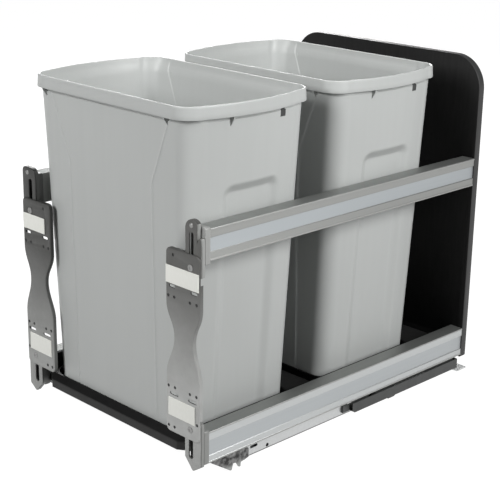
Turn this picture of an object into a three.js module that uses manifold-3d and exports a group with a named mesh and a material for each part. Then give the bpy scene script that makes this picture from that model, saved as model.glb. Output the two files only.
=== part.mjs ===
// In-cabinet pull-out unit with two lift-out waste bins.
//
// A tray and four aluminium side rails make a drawer that rolls out on a pair of three-member
// ball-bearing slides.  Two stamped brackets carry the cabinet door, and the bins lift straight up.
//
// Units are millimetres.  +Z is up, the door side faces -Y and X runs across the unit.
// The origin is the middle of the footprint, on the surface that the unit stands on.

import * as THREE from 'three';
import { mergeVertices } from 'three/addons/utils/BufferGeometryUtils.js';
import Module from 'manifold-3d';

const wasm = await Module();
wasm.setup();

// ---- driving dimensions -------------------------------------------------------------------

const WIDTH = 365;                       // over the side rails
const DEPTH = 570;                       // door face to the rear floor brackets
const HEIGHT = 490;                      // to the top of the back panel
const GAP = 0.3;                         // running gap between neighbouring pieces
const TOUCH = 0.05;                      // gap between pieces that are fastened together
const OVER = 1;                          // how far a solid runs past a face it cuts or joins
const LAP = 0.5;                         // shorter overlap, for thin sheet

const X_OUT = WIDTH / 2;                 // outer face of the side rails
const Y_FRONT = -DEPTH / 2;              // face that the cabinet door rests on
const Y_REAR = DEPTH / 2;

const RAIL_WIDTH = 22;                   // side rail section, across
const X_RAIL_IN = X_OUT - RAIL_WIDTH;
const RAIL_WALL = 2;
const STRIPE_DEPTH = 1.2;                // recessed stripe along each rail
const UPPER_RAIL = { low: 299.7, high: 341.2, stripeLow: 311.4, stripeHigh: 329.4 };
const LOWER_RAIL = { low: 32.5, high: 73, stripeLow: 39.5, stripeHigh: 60.5 };
const RAIL_LIP = { thick: 3.5, drop: 3.5 };      // hangs from the lower rail's outer face
const Y_RAIL_FRONT = -267;
const LEDGE_REACH = 14.5;                // shelf of the lower rail that the tray stands on
const LEDGE_THICK = 2.2;

const PANEL_THICK = 12;
const PANEL_FRONT = 263;
const PANEL_LOW = 25;
const PANEL_CORNER = 48;

const PAD_THICK = 0.75;                  // foam tape on the door brackets
const PLATE_FRONT = Y_FRONT + PAD_THICK + TOUCH;
const PLATE_THICK = 1.6;
const PLATE_FLANGE = 6;                  // depth of the turned edge
const PLATE_IN = 120;                    // inner and outer edges of the door bracket
const PLATE_OUT = X_OUT;
const PLATE_LOW = 61;
const PLATE_HIGH = 308;
const DOOR_ADJUST = 4;                   // height setting, each way

const POST_IN = 153.5;                   // slotted bracket behind each end of the door bracket
const CAP_IN = 156;
const POST_FRONT = PLATE_FRONT + PLATE_THICK + GAP;
const POST_DEPTH = 6.8;
const POST_SKIN = 2;
const SLOT = { x: 165, width: 8 };
const UPPER_POST = { low: 280, slotLow: 284, slotHigh: 336, shoulder: 339, dome: 351.5, round: 12.5 };
const UPPER_POST_TURN = 0.22 * Math.PI;  // where the dome meets the shoulder
const TALL_CORNER = 7;                   // outer corner of the left bracket, which has no shoulder
const LOWER_POST = {
  tipX: 168.5, tip: 18, inner: 34.5, outer: 27.5, slotLow: 34, slotHigh: 83, high: 86.5,
};
const RIVET = {
  right: SLOT.x, left: 171, z: 344.2, head: 3.6, headThick: 1.4, stem: 1.8, stemRear: 5.5, hole: 2.1,
};
const CLAMP_X = 165.5;
const UPPER_CLAMP_Z = 291;
const LOWER_CLAMP_Z = 75.5;
const CLAMP = {
  head: 4.5, hole: 2.8, stem: 2.4, stemFront: 0.3, nutThick: 3, nutHalfX: 4.9, nutHalfZ: 4.6,
};

const CAP_FRONT = POST_FRONT + POST_DEPTH + GAP;
const UPPER_CAP = { low: 296, high: 343 };
const LOWER_CAP = { low: 29, high: 75.5 };
const CAP_PLUG = { play: 0.5, long: 12 };

const BIN_PITCH = 262.5;                 // front to back between the two bins
const BIN_FRONT_Y = -172.5;
const BIN_WALL = 2.4;
const BIN_BOTTOM = 39;
const BIN_RIM_LOW = 468;
const BIN_RIM_HIGH = 483.8;
const BIN_SOLE = 3;                      // chamfer and floor thickness at the foot
const RIM = { under: 2, lowIn: 0.8, lowRise: 1.5, round: 3, roundIn: 2.4, flat: 6, inside: 6 };
const BIN_FOOT = { hx: 135, bow: 5, hy: 95.5, r: 24 };
const BIN_NECK = { hx: 155.4, bow: 8.7, hy: 103.5, r: 26 };
const BIN_RIM = { hx: 159.7, bow: 12, hy: 111, r: 31 };
const GRIP_DEPTH = 6;                    // recessed panel in each end wall, below the hand hold
const GRIP_HIGH = 380;
const GRIP_HALF = 49.5;
const GRIP_BEVEL = { top: 15, side: 10.5 };

const TRAY_BOTTOM = 34.8;
const TRAY_FLOOR = 38.6;
const TRAY_DECK = 46;
const TRAY_LIP = 56;
const TRAY_SIDE_HIGH = LOWER_RAIL.high - 1;
const TRAY_FRONT = -279;
const TRAY_FRONT_HALF = 134;
const TRAY_SHOULDER = { x: 150, y: -268 };       // the outline steps back beside the slotted brackets
const TRAY_FLANK = { x: 156.5, y: -264.5 };
const TRAY_SIDE_FRONT = -258;
const TRAY_SIDE_WALL = 2.6;
const TRAY_LIP_REAR = -262;
const TRAY_LIP_SLOPE = 5;
const POCKET = { clear: 3, wall: 3, corner: 26, wallCorner: 28 };

const SLIDE_X = 159.25;                  // middle of each slide
const SLIDE_HALF = 13.25;
const SLIDE_LOW = 8;
const SLIDE_HIGH = 24.5;
const SLIDE_SHEET = 1.5;
const Y_SLIDE_FRONT = -228;
const Y_SLIDE_REAR = 262;
const MIDDLE_HALF = 7.4;
const MIDDLE_LOW = 11.2;
const MIDDLE_HIGH = 24.4;
const WEB_HALF = 1.6;
const WEB_LOW = 13.8;
const SLIDE_LIP = 2.2;                   // returned edge of the cabinet rail
const SLIDE_HOLE = { y: -151.5, z: 12.5, radius: 3 };
const SLIDE_OVAL = { y: -177, z: 19.6, half: 7, wide: 2.2 };
const MIDDLE_SHEET = 1.3;
const MIDDLE_SET = { front: 1, rear: 4 };        // ends inside the cabinet rail
const FLANGE = { low: 30.4, inner: 148, outer: 172 };
const STRIKER = { armIn: 171, inner: 175, outer: 178, front: 4, rear: 12, low: 25.2 };
const BALL_R = 1.9;
const OUTER_BALL = { off: 9.6, z: 15.5 };
const INNER_BALL = { off: 3.9, z: 19 };
const CAGE_MIDDLE = 12;
const CAGE_HALF = 110;
const BALLS_PER_ROW = 3;
const BALL_PITCH = CAGE_HALF * 0.9;
const OUTER_STRIP = { low: 9.9, thick: 0.8, high: 19 };
const INNER_STRIP = { low: 12.8, thick: 0.6, high: 22 };
const STRIP = 0.8;                       // sheet of the cage's upright sides

const FRONT_FOOT = { inner: 148, legIn: 156, legOut: 158, high: 7, base: 6, sole: 1.6, plate: 2.35 };
const FRONT_FOOT_Y = { base: [-210, -193], sole: [-222, -203.5] };
const REAR_FOOT = { inner: 149, sheet: 2.4, sole: 2, reach: 6, below: 2, gusset: [158, 160], rise: 19 };
const REAR_FOOT_HOLE = { x: 168.5, y: 277.5, radius: 2.6 };
const BRACE = { front: 228, rear: 256, low: 8, high: 16, sheet: 1.6 };

const CASE_IN = 172.8;                   // soft-close housing beside the cabinet rail
const CASE_OUT = 181.3;
const CASE_LOW = 9.2;
const CASE_HIGH = 24;
const CASE_FRONT = 12;
const CASE_REAR = 257;
const CASE_WALL = 0.9;
const CASE_FLOOR = 1.4;
const CASE_NOSE = 5;                     // slope under the front end
const CASE_BOSS = { middle: 98, half: 10, slope: 4, drop: 1.5 };
const TONGUE = { front: -2.5, low: 12, high: 23, thick: 2.6 };
const DAMPER = { z: 14, radius: 3, front: 98, rear: 188, bore: 1.5, boreRear: 175 };
const DAMPER_ROD = { radius: 1.1, rear: 170 };
const CATCH = {
  front: 54, rear: 64, low: 11.2, nose: 18, shelf: 20, post: 56, crown: 24, high: 24.4, ease: 2,
};
const SPRING = { y: 108, z: 20.6, turns: 9, pitch: 8.4, thin: 1.3, thick: 2 };

const CURVE = 6;                         // segments in a quarter of a bin corner
const ARC_STEPS = 3;                     // half the segments of any other arc

// ---- geometry helpers ---------------------------------------------------------------------

// Shapes are drawn in two axes of the model and pushed along the third one.
function prismZ(shape, low, high) {
  const geometry = new THREE.ExtrudeGeometry(shape, extrusion(high - low));
  return geometry.translate(0, 0, low);
}

function prismY(shape, low, high) {
  const geometry = new THREE.ExtrudeGeometry(shape, extrusion(high - low));
  return geometry.rotateX(Math.PI / 2).translate(0, high, 0);
}

function prismX(shape, low, high) {
  const turn = new THREE.Matrix4().makeBasis(
    new THREE.Vector3(0, 1, 0),
    new THREE.Vector3(0, 0, 1),
    new THREE.Vector3(1, 0, 0),
  );
  const geometry = new THREE.ExtrudeGeometry(shape, extrusion(high - low));
  return geometry.applyMatrix4(turn).translate(low, 0, 0);
}

function extrusion(depth) {
  return { depth, bevelEnabled: false, steps: 1, curveSegments: ARC_STEPS };
}

function block(x0, x1, y0, y1, z0, z1) {
  const geometry = new THREE.BoxGeometry(x1 - x0, y1 - y0, z1 - z0);
  return geometry.translate((x0 + x1) / 2, (y0 + y1) / 2, (z0 + z1) / 2);
}

// Round bar along Y.
function barY(radius, x, z, y0, y1, sides = 12) {
  const geometry = new THREE.CylinderGeometry(radius, radius, y1 - y0, sides);
  return geometry.translate(x, (y0 + y1) / 2, z);
}

function polygon(points) {
  return new THREE.Shape(points.map(([a, b]) => new THREE.Vector2(a, b)));
}

function rectangle(a0, a1, b0, b1) {
  return polygon([[a0, b0], [a1, b0], [a1, b1], [a0, b1]]);
}

// Slot or oval with round ends along the first axis (long) or the second axis (tall).
function oval(a, b, halfLong, halfWide, along) {
  const shape = new THREE.Shape();
  const reach = halfLong - halfWide;
  if (along === 'first') {
    shape.absarc(a + reach, b, halfWide, -Math.PI / 2, Math.PI / 2);
    shape.absarc(a - reach, b, halfWide, Math.PI / 2, Math.PI * 1.5);
  } else {
    shape.absarc(a, b + reach, halfWide, 0, Math.PI);
    shape.absarc(a, b - reach, halfWide, Math.PI, Math.PI * 2);
  }
  return shape;
}

function toSolid(geometry) {
  const bare = geometry.clone();
  bare.deleteAttribute('normal');
  bare.deleteAttribute('uv');
  const merged = mergeVertices(bare, 1e-4);
  const vertProperties = new Float32Array(merged.attributes.position.array);
  const triVerts = new Uint32Array(merged.index.array);
  return new wasm.Manifold(new wasm.Mesh({ numProp: 3, vertProperties, triVerts }));
}

function toGeometry(solid) {
  const mesh = solid.getMesh();
  const geometry = new THREE.BufferGeometry();
  geometry.setAttribute('position', new THREE.BufferAttribute(mesh.vertProperties, 3));
  geometry.setIndex(new THREE.BufferAttribute(mesh.triVerts, 1));
  return geometry;
}

function join(...geometries) {
  return toGeometry(geometries.map(toSolid).reduce((whole, next) => whole.add(next)));
}

function cut(geometry, ...tools) {
  return toGeometry(tools.map(toSolid).reduce((rest, tool) => rest.subtract(tool), toSolid(geometry)));
}

// The same piece for the other side of the unit.
function mirrored(geometry) {
  const flat = geometry.index ? geometry.toNonIndexed() : geometry.clone();
  const source = flat.attributes.position;
  const positions = new Float32Array(source.count * 3);
  for (let i = 0; i < source.count; i += 1) {
    const turn = [0, 1, -1][i % 3];
    positions[3 * i] = -source.getX(i + turn);
    positions[3 * i + 1] = source.getY(i + turn);
    positions[3 * i + 2] = source.getZ(i + turn);
  }
  const copy = new THREE.BufferGeometry();
  copy.setAttribute('position', new THREE.BufferAttribute(positions, 3));
  return copy;
}

// ---- materials ----------------------------------------------------------------------------

function finish(color, roughness, metalness) {
  return () => new THREE.MeshStandardMaterial({ color, roughness, metalness });
}

const binPlastic = finish(0xb2b6b5, 0.5, 0);
const blackPlastic = finish(0x161616, 0.5, 0);
const darkPlastic = finish(0x4b4d4c, 0.55, 0);
const railAluminium = finish(0xbfc3c4, 0.38, 0.85);
const greyPaint = finish(0x83857f, 0.5, 0.3);
const blackBoard = finish(0x141414, 0.55, 0);
const foamTape = finish(0xdcddd6, 0.9, 0);
const zinc = finish(0xc5c8c9, 0.35, 0.85);
const brightSteel = finish(0xd4d6d6, 0.25, 0.95);

// ---- the whole unit -----------------------------------------------------------------------

const unit = new THREE.Group();

function place(name, geometry, material) {
  const mesh = new THREE.Mesh(geometry, material());
  mesh.name = name;
  unit.add(mesh);
}

// Places a right-hand piece and its mirror image.
function placePair(name, geometry, material) {
  place(`right_${name}`, geometry, material);
  place(`left_${name}`, mirrored(geometry), material);
}

// ---- bins ---------------------------------------------------------------------------------

function blendSection(height) {
  const t = (height - BIN_BOTTOM) / (BIN_RIM_LOW - BIN_BOTTOM);
  const section = {};
  for (const key of Object.keys(BIN_FOOT)) {
    section[key] = BIN_FOOT[key] + (BIN_NECK[key] - BIN_FOOT[key]) * t;
  }
  return section;
}

// Depth of the recessed end panel at a height.
function gripDepth(height) {
  return GRIP_DEPTH * THREE.MathUtils.clamp((GRIP_HIGH - height) / GRIP_BEVEL.top, 0, 1);
}

// One closed loop around the bin: straight front and back, bowed ends, round corners.
function binLoop(section, inset, height) {
  const { hx, bow, hy, r } = section;
  const recess = gripDepth(height);
  const halfSide = hy - r;
  const quarter = [];
  for (const y of [GRIP_HALF - GRIP_BEVEL.side, GRIP_HALF, (GRIP_HALF + halfSide) / 2]) {
    const depth = y < GRIP_HALF ? recess : 0;
    const bulge = bow * (1 - (y / halfSide) ** 2);
    quarter.push([hx + bulge - depth - inset, y]);
  }
  for (let i = 0; i <= CURVE; i += 1) {
    const angle = (i / CURVE) * (Math.PI / 2);
    const radius = r - inset;
    quarter.push([hx - r + radius * Math.cos(angle), halfSide + radius * Math.sin(angle)]);
  }
  const reversed = [...quarter].reverse();
  const middle = hx + bow - recess - inset;
  return [
    [middle, 0],
    ...quarter,
    ...reversed.map(([x, y]) => [-x, y]),
    [-middle, 0],
    ...quarter.map(([x, y]) => [-x, -y]),
    ...reversed.map(([x, y]) => [x, -y]),
  ];
}

// Skin over a stack of loops, closed at its first and last loop.
function loft(loops) {
  const count = loops[0].points.length;
  const positions = [];
  const index = [];
  for (const { points, z } of loops) {
    for (const [x, y] of points) positions.push(x, y, z);
  }
  for (let ring = 0; ring < loops.length - 1; ring += 1) {
    for (let i = 0; i < count; i += 1) {
      const a = ring * count + i;
      const b = ring * count + ((i + 1) % count);
      index.push(a, b, b + count, a, b + count, a + count);
    }
  }
  const first = positions.length / 3;
  positions.push(0, 0, loops[0].z);
  positions.push(0, 0, loops[loops.length - 1].z);
  const top = (loops.length - 1) * count;
  for (let i = 0; i < count; i += 1) {
    const next = (i + 1) % count;
    index.push(first, next, i);
    index.push(first + 1, top + i, top + next);
  }
  const geometry = new THREE.BufferGeometry();
  geometry.setAttribute('position', new THREE.Float32BufferAttribute(positions, 3));
  geometry.setIndex(index);
  return geometry;
}

function binGeometry(yMiddle) {
  const loops = [];
  const wallLoop = (z, inset) => loops.push({ z, points: binLoop(blendSection(z), inset, z) });
  const rimLoop = (z, inset) => loops.push({ z, points: binLoop(BIN_RIM, inset, z) });
  wallLoop(BIN_BOTTOM, BIN_SOLE);
  wallLoop(BIN_BOTTOM + BIN_SOLE, 0);
  wallLoop(GRIP_HIGH - GRIP_BEVEL.top, 0);
  wallLoop(GRIP_HIGH, 0);
  wallLoop(BIN_RIM_LOW - RIM.under, 0);
  rimLoop(BIN_RIM_LOW, RIM.lowIn);
  rimLoop(BIN_RIM_LOW + RIM.lowRise, 0);
  rimLoop(BIN_RIM_HIGH - RIM.round, 0);
  rimLoop(BIN_RIM_HIGH, RIM.roundIn);
  rimLoop(BIN_RIM_HIGH, RIM.flat);
  wallLoop(BIN_RIM_LOW + RIM.inside, BIN_WALL);
  wallLoop(GRIP_HIGH, BIN_WALL);
  wallLoop(GRIP_HIGH - GRIP_BEVEL.top, BIN_WALL);
  wallLoop(BIN_BOTTOM + 2 * BIN_SOLE, BIN_WALL);
  wallLoop(BIN_BOTTOM + BIN_SOLE, BIN_WALL + BIN_SOLE);
  return loft(loops).translate(0, yMiddle, 0);
}

// ---- tray ---------------------------------------------------------------------------------

function roundedBox(halfX, halfY, radius, yMiddle) {
  const shape = new THREE.Shape();
  const quarter = Math.PI / 2;
  shape.absarc(halfX - radius, yMiddle + halfY - radius, radius, 0, quarter);
  shape.absarc(radius - halfX, yMiddle + halfY - radius, radius, quarter, 2 * quarter);
  shape.absarc(radius - halfX, yMiddle - halfY + radius, radius, 2 * quarter, 3 * quarter);
  shape.absarc(halfX - radius, yMiddle - halfY + radius, radius, 3 * quarter, 4 * quarter);
  return shape;
}

function trayGeometry(binMiddles) {
  const side = X_RAIL_IN - GAP;
  const rear = PANEL_FRONT - TOUCH;
  const nose = [
    [-TRAY_FRONT_HALF, TRAY_FRONT], [TRAY_FRONT_HALF, TRAY_FRONT], [TRAY_SHOULDER.x, TRAY_SHOULDER.y],
  ];
  const outline = polygon([
    ...nose, [TRAY_FLANK.x, TRAY_FLANK.y], [side, TRAY_SIDE_FRONT], [side, rear],
    [-side, rear], [-side, TRAY_SIDE_FRONT], [-TRAY_FLANK.x, TRAY_FLANK.y],
    [-TRAY_SHOULDER.x, TRAY_SHOULDER.y],
  ]);
  const lip = polygon([
    ...nose, [TRAY_SHOULDER.x, TRAY_LIP_REAR], [-TRAY_SHOULDER.x, TRAY_LIP_REAR],
    [-TRAY_SHOULDER.x, TRAY_SHOULDER.y],
  ]);
  const lipRear = TRAY_FRONT + TRAY_LIP_SLOPE;
  const slope = polygon([
    [TRAY_FRONT - OVER, TRAY_DECK + OVER], [TRAY_FRONT, TRAY_DECK + OVER], [lipRear, TRAY_LIP],
    [lipRear, TRAY_LIP + OVER], [TRAY_FRONT - OVER, TRAY_LIP + OVER],
  ]);
  const foot = blendSection(TRAY_LIP);
  const pocketX = foot.hx + foot.bow + POCKET.clear;
  const pocketY = foot.hy + POCKET.clear;
  const solids = [
    prismZ(outline, TRAY_BOTTOM, TRAY_DECK),
    prismZ(lip, TRAY_DECK - OVER, TRAY_LIP),
  ];
  for (const middle of binMiddles) {
    const wall = roundedBox(pocketX + POCKET.wall, pocketY + POCKET.wall, POCKET.wallCorner, middle);
    solids.push(prismZ(wall, TRAY_DECK - OVER, TRAY_LIP));
  }
  for (const sign of [-1, 1]) {
    const inner = sign * (side - TRAY_SIDE_WALL);
    solids.push(block(
      Math.min(inner, sign * side), Math.max(inner, sign * side),
      TRAY_SIDE_FRONT, rear, TRAY_DECK - OVER, TRAY_SIDE_HIGH));
  }
  const pockets = binMiddles.map((middle) => (
    prismZ(roundedBox(pocketX, pocketY, POCKET.corner, middle), TRAY_FLOOR, TRAY_SIDE_HIGH)));
  return cut(join(...solids), prismX(slope, -X_OUT, X_OUT), ...pockets);
}

// ---- side rails ---------------------------------------------------------------------------

// The lower rail also has the tray's ledge and a lip that covers the slide from the side.
function railShape(rail, withLedge) {
  const soft = 1;
  const inX = X_OUT - STRIPE_DEPTH;
  const foot = withLedge ? rail.low - RAIL_LIP.drop : rail.low;
  const points = [
    [X_OUT - soft, foot], [X_OUT, foot + soft],
    [X_OUT, rail.stripeLow - STRIPE_DEPTH / 2], [inX, rail.stripeLow + STRIPE_DEPTH / 2],
    [inX, rail.stripeHigh - STRIPE_DEPTH / 2], [X_OUT, rail.stripeHigh + STRIPE_DEPTH / 2],
    [X_OUT, rail.high - soft], [X_OUT - soft, rail.high],
    [X_RAIL_IN, rail.high],
  ];
  if (withLedge) {
    points.push([X_RAIL_IN, rail.low + LEDGE_THICK]);
    points.push([X_RAIL_IN - LEDGE_REACH, rail.low + LEDGE_THICK]);
    points.push([X_RAIL_IN - LEDGE_REACH, rail.low]);
    points.push([X_OUT - RAIL_LIP.thick, rail.low]);
    points.push([X_OUT - RAIL_LIP.thick, foot]);
  } else {
    points.push([X_RAIL_IN, rail.low]);
  }
  const shape = polygon(points);
  shape.holes.push(rectangle(
    X_RAIL_IN + RAIL_WALL, inX - RAIL_WALL, rail.low + RAIL_WALL, rail.high - RAIL_WALL));
  return shape;
}

function railGeometry(rail, withLedge) {
  return prismY(railShape(rail, withLedge), Y_RAIL_FRONT, PANEL_FRONT - TOUCH);
}

// Moulded cap with a plug that fits the rail's hollow.
function capGeometry(cap, rail) {
  const inX = X_OUT - STRIPE_DEPTH;
  const back = Y_RAIL_FRONT - TOUCH;
  const face = block(CAP_IN, X_OUT, CAP_FRONT, back, cap.low, cap.high);
  const inset = RAIL_WALL + CAP_PLUG.play;
  const plug = block(
    X_RAIL_IN + inset, inX - inset, back - OVER, back + CAP_PLUG.long,
    rail.low + inset, rail.high - inset);
  return join(face, plug);
}

// ---- slotted brackets ---------------------------------------------------------------------

function upperPostShape() {
  const { low, shoulder, dome, round } = UPPER_POST;
  const shape = new THREE.Shape();
  shape.moveTo(POST_IN, low);
  shape.lineTo(X_OUT, low);
  shape.lineTo(X_OUT, shoulder);
  shape.absarc(POST_IN + round, dome - round, round, UPPER_POST_TURN, Math.PI);
  return shape;
}

function tallPostShape() {
  const { low, dome, round } = UPPER_POST;
  const quarter = Math.PI / 2;
  const shape = new THREE.Shape();
  shape.moveTo(POST_IN, low);
  shape.lineTo(X_OUT, low);
  shape.absarc(X_OUT - TALL_CORNER, dome - TALL_CORNER, TALL_CORNER, 0, quarter);
  shape.absarc(POST_IN + round, dome - round, round, quarter, 2 * quarter);
  return shape;
}

function lowerPostShape() {
  const { tipX, tip, inner, outer, high } = LOWER_POST;
  return polygon([
    [POST_IN, inner], [tipX, tip], [X_OUT, outer], [X_OUT, high], [POST_IN, high],
  ]);
}

// Channel with a slotted face, open at the back.
function postGeometry(shape, pocketLow, pocketHigh, slotLow, slotHigh) {
  const back = POST_FRONT + POST_DEPTH;
  const body = prismY(shape, POST_FRONT, back);
  const pocket = block(
    POST_IN + POST_SKIN, X_OUT - POST_SKIN, POST_FRONT + POST_SKIN, back + OVER, pocketLow, pocketHigh);
  const half = (slotHigh - slotLow) / 2;
  const slot = prismY(
    oval(SLOT.x, slotLow + half, half, SLOT.width / 2, 'second'), POST_FRONT - OVER, back);
  return cut(body, pocket, slot);
}

function upperPostGeometry(shape, rivetX) {
  const { low, slotLow, slotHigh } = UPPER_POST;
  const post = postGeometry(shape, low - OVER, slotHigh + POST_SKIN, slotLow, slotHigh);
  const hole = barY(RIVET.hole, rivetX, RIVET.z, POST_FRONT - OVER, POST_FRONT + POST_DEPTH + OVER);
  return cut(post, hole);
}

function lowerPostGeometry() {
  const { high, slotLow, slotHigh } = LOWER_POST;
  return postGeometry(lowerPostShape(), slotLow - OVER, high + OVER, slotLow, slotHigh);
}

function rivetGeometry(x) {
  const { z, head, headThick, stem, stemRear } = RIVET;
  const rear = POST_FRONT - TOUCH;
  return join(
    barY(head, x, z, POST_FRONT - headThick, rear, 16),
    barY(stem, x, z, rear - headThick / 2, POST_FRONT + stemRear, 10),
  );
}

// ---- door brackets ------------------------------------------------------------------------

function plateOutline() {
  const radius = 7;
  const shoulderHigh = 238;
  const waistZ = 192;
  const shoulderLow = 140;
  const waistIn = 135;
  const waistOut = 170;
  const pull = 20;
  const shape = new THREE.Shape();
  const quarter = Math.PI / 2;
  shape.absarc(PLATE_OUT - radius, PLATE_LOW + radius, radius, -quarter, 0);
  shape.lineTo(PLATE_OUT, shoulderLow);
  shape.bezierCurveTo(PLATE_OUT, shoulderLow + pull, waistOut, waistZ - pull, waistOut, waistZ);
  shape.bezierCurveTo(waistOut, waistZ + pull, PLATE_OUT, shoulderHigh - pull, PLATE_OUT, shoulderHigh);
  shape.absarc(PLATE_OUT - radius, PLATE_HIGH - radius, radius, 0, quarter);
  shape.absarc(PLATE_IN + radius, PLATE_HIGH - radius, radius, quarter, 2 * quarter);
  shape.lineTo(PLATE_IN, shoulderHigh);
  shape.bezierCurveTo(PLATE_IN, shoulderHigh - pull, waistIn, waistZ + pull, waistIn, waistZ);
  shape.bezierCurveTo(waistIn, waistZ - pull, PLATE_IN, shoulderLow + pull, PLATE_IN, shoulderLow);
  shape.absarc(PLATE_IN + radius, PLATE_LOW + radius, radius, 2 * quarter, 3 * quarter);
  return shape.getPoints(PLATE_STEPS);
}

// Closed outline moved inwards by a distance; the points run anticlockwise.
function insetOutline(points, distance) {
  const tidy = points.filter((p, i) => p.distanceTo(points[(i + 1) % points.length]) > 1e-6);
  return tidy.map((point, i) => {
    const before = tidy[(i + tidy.length - 1) % tidy.length];
    const after = tidy[(i + 1) % tidy.length];
    const along = after.clone().sub(before).normalize();
    return [point.x - along.y * distance, point.y + along.x * distance];
  });
}

const PLATE_STEPS = 5;
const PLATE_HOLE = 1.75;
const PLATE_SLOT_HALF = 2;
const NOTCH_CLEAR = { side: 2, end: 0.5 };
const PLATE_SLOTS = [
  { x: 132, z: 259, half: 6 }, { x: 172, z: 259, half: 6 },
  { x: 135.5, z: 115, half: 8 }, { x: 170, z: 115, half: 8 },
];
const PLATE_HOLES = [
  [124.8, 124], [137, 124], [165, 124], [177, 124],
  [124.8, 245.5], [136, 245.5], [165, 245.5], [177, 245.5],
  [125, 69], [136, 69], [178.5, 86], [134, 300],
];

function plateGeometry() {
  const points = plateOutline();
  const back = PLATE_FRONT + PLATE_THICK;
  const sheet = prismY(new THREE.Shape(points), PLATE_FRONT, back);
  const edge = new THREE.Shape(points);
  edge.holes.push(polygon(insetOutline(points, PLATE_THICK)));
  const flangeRear = PLATE_FRONT + PLATE_FLANGE;
  const reach = DOOR_ADJUST + NOTCH_CLEAR.end;
  const notch = (low, high) => block(
    POST_IN - NOTCH_CLEAR.side, X_OUT + OVER, back, flangeRear + OVER, low, high);
  const flange = cut(
    prismY(edge, back - LAP, flangeRear),
    notch(UPPER_POST.low - reach, PLATE_HIGH + OVER),
    notch(PLATE_LOW - OVER, LOWER_POST.high + reach),
  );
  const holes = PLATE_SLOTS.map(({ x, z, half }) => (
    prismY(oval(x, z, half, PLATE_SLOT_HALF, 'first'), PLATE_FRONT - OVER, back + OVER)));
  for (const [x, z] of PLATE_HOLES) {
    holes.push(barY(PLATE_HOLE, x, z, PLATE_FRONT - OVER, back + OVER, 8));
  }
  for (const z of [UPPER_CLAMP_Z, LOWER_CLAMP_Z]) {
    holes.push(barY(CLAMP.hole, CLAMP_X, z, PLATE_FRONT - OVER, back + OVER, 12));
  }
  return cut(join(sheet, flange), ...holes);
}

// Low head on the plate's face, with a square nut in the channel behind it.
function clampGeometry(z) {
  const { head, stem, stemFront, nutThick, nutHalfX, nutHalfZ } = CLAMP;
  const nutFront = POST_FRONT + POST_SKIN + TOUCH;
  const nutRear = nutFront + nutThick;
  return join(
    barY(head, CLAMP_X, z, Y_FRONT, PLATE_FRONT - TOUCH, 16),
    barY(stem, CLAMP_X, z, Y_FRONT + stemFront, nutRear + LAP, 12),
    block(CLAMP_X - nutHalfX, CLAMP_X + nutHalfX, nutFront, nutRear, z - nutHalfZ, z + nutHalfZ),
  );
}

// The left upper pad is cut a little shorter than the right one.
const PADS = {
  rightUpper: [PLATE_IN + 0.5, X_OUT - 1.5, 262.5, 285.5],
  leftUpper: [132, X_OUT - 1.5, 264, 286],
  lower: [125, 175, 84, 109],
};

function padGeometry([x0, x1, z0, z1]) {
  return block(x0, x1, Y_FRONT, PLATE_FRONT - TOUCH, z0, z1);
}

// ---- back panel ---------------------------------------------------------------------------

const PANEL_SCREWS = [UPPER_RAIL, LOWER_RAIL].map((rail) => [170.6, (rail.low + rail.high) / 2]);
const PANEL_SCREW = { hole: 2.6, head: 5, headThick: 2.8, stem: 2.2, reach: 16 };
const PANEL_FOOT_CORNER = 3;

function panelGeometry() {
  const quarter = Math.PI / 2;
  const shape = new THREE.Shape();
  const soft = PANEL_FOOT_CORNER;
  shape.absarc(X_OUT - soft, PANEL_LOW + soft, soft, -quarter, 0);
  shape.absarc(X_OUT - PANEL_CORNER, HEIGHT - PANEL_CORNER, PANEL_CORNER, 0, quarter);
  shape.absarc(PANEL_CORNER - X_OUT, HEIGHT - PANEL_CORNER, PANEL_CORNER, quarter, 2 * quarter);
  shape.absarc(soft - X_OUT, PANEL_LOW + soft, soft, 2 * quarter, 3 * quarter);
  const holes = [];
  for (const [x, z] of PANEL_SCREWS) {
    for (const sign of [-1, 1]) {
      const rear = PANEL_FRONT + PANEL_THICK;
      holes.push(barY(PANEL_SCREW.hole, sign * x, z, PANEL_FRONT - OVER, rear + OVER));
    }
  }
  return cut(prismY(shape, PANEL_FRONT, PANEL_FRONT + PANEL_THICK), ...holes);
}

function panelScrewGeometry([x, z]) {
  const rear = PANEL_FRONT + PANEL_THICK;
  const head = barY(PANEL_SCREW.head, x, z, rear + TOUCH, rear + PANEL_SCREW.headThick, 16);
  const stem = barY(PANEL_SCREW.stem, x, z, PANEL_FRONT - PANEL_SCREW.reach, rear + OVER, 10);
  return join(head, stem);
}

// ---- slides -------------------------------------------------------------------------------

function cabinetRailGeometry() {
  const inner = SLIDE_X - SLIDE_HALF;
  const outer = SLIDE_X + SLIDE_HALF;
  const sheet = SLIDE_SHEET;
  const top = SLIDE_HIGH - sheet;
  const lip = SLIDE_LIP + sheet;
  const section = polygon([
    [inner, SLIDE_LOW], [outer, SLIDE_LOW], [outer, SLIDE_HIGH], [outer - lip, SLIDE_HIGH],
    [outer - lip, top], [outer - sheet, top], [outer - sheet, SLIDE_LOW + sheet],
    [inner + sheet, SLIDE_LOW + sheet], [inner + sheet, top], [inner + lip, top],
    [inner + lip, SLIDE_HIGH], [inner, SLIDE_HIGH],
  ]);
  const near = outer - sheet - OVER;
  const round = new THREE.Shape().absarc(SLIDE_HOLE.y, SLIDE_HOLE.z, SLIDE_HOLE.radius, 0, 2 * Math.PI);
  const long = oval(SLIDE_OVAL.y, SLIDE_OVAL.z, SLIDE_OVAL.half, SLIDE_OVAL.wide, 'first');
  const holes = [round, long].map((shape) => prismX(shape, near, outer + OVER));
  return cut(prismY(section, Y_SLIDE_FRONT, Y_SLIDE_REAR), ...holes);
}

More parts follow.
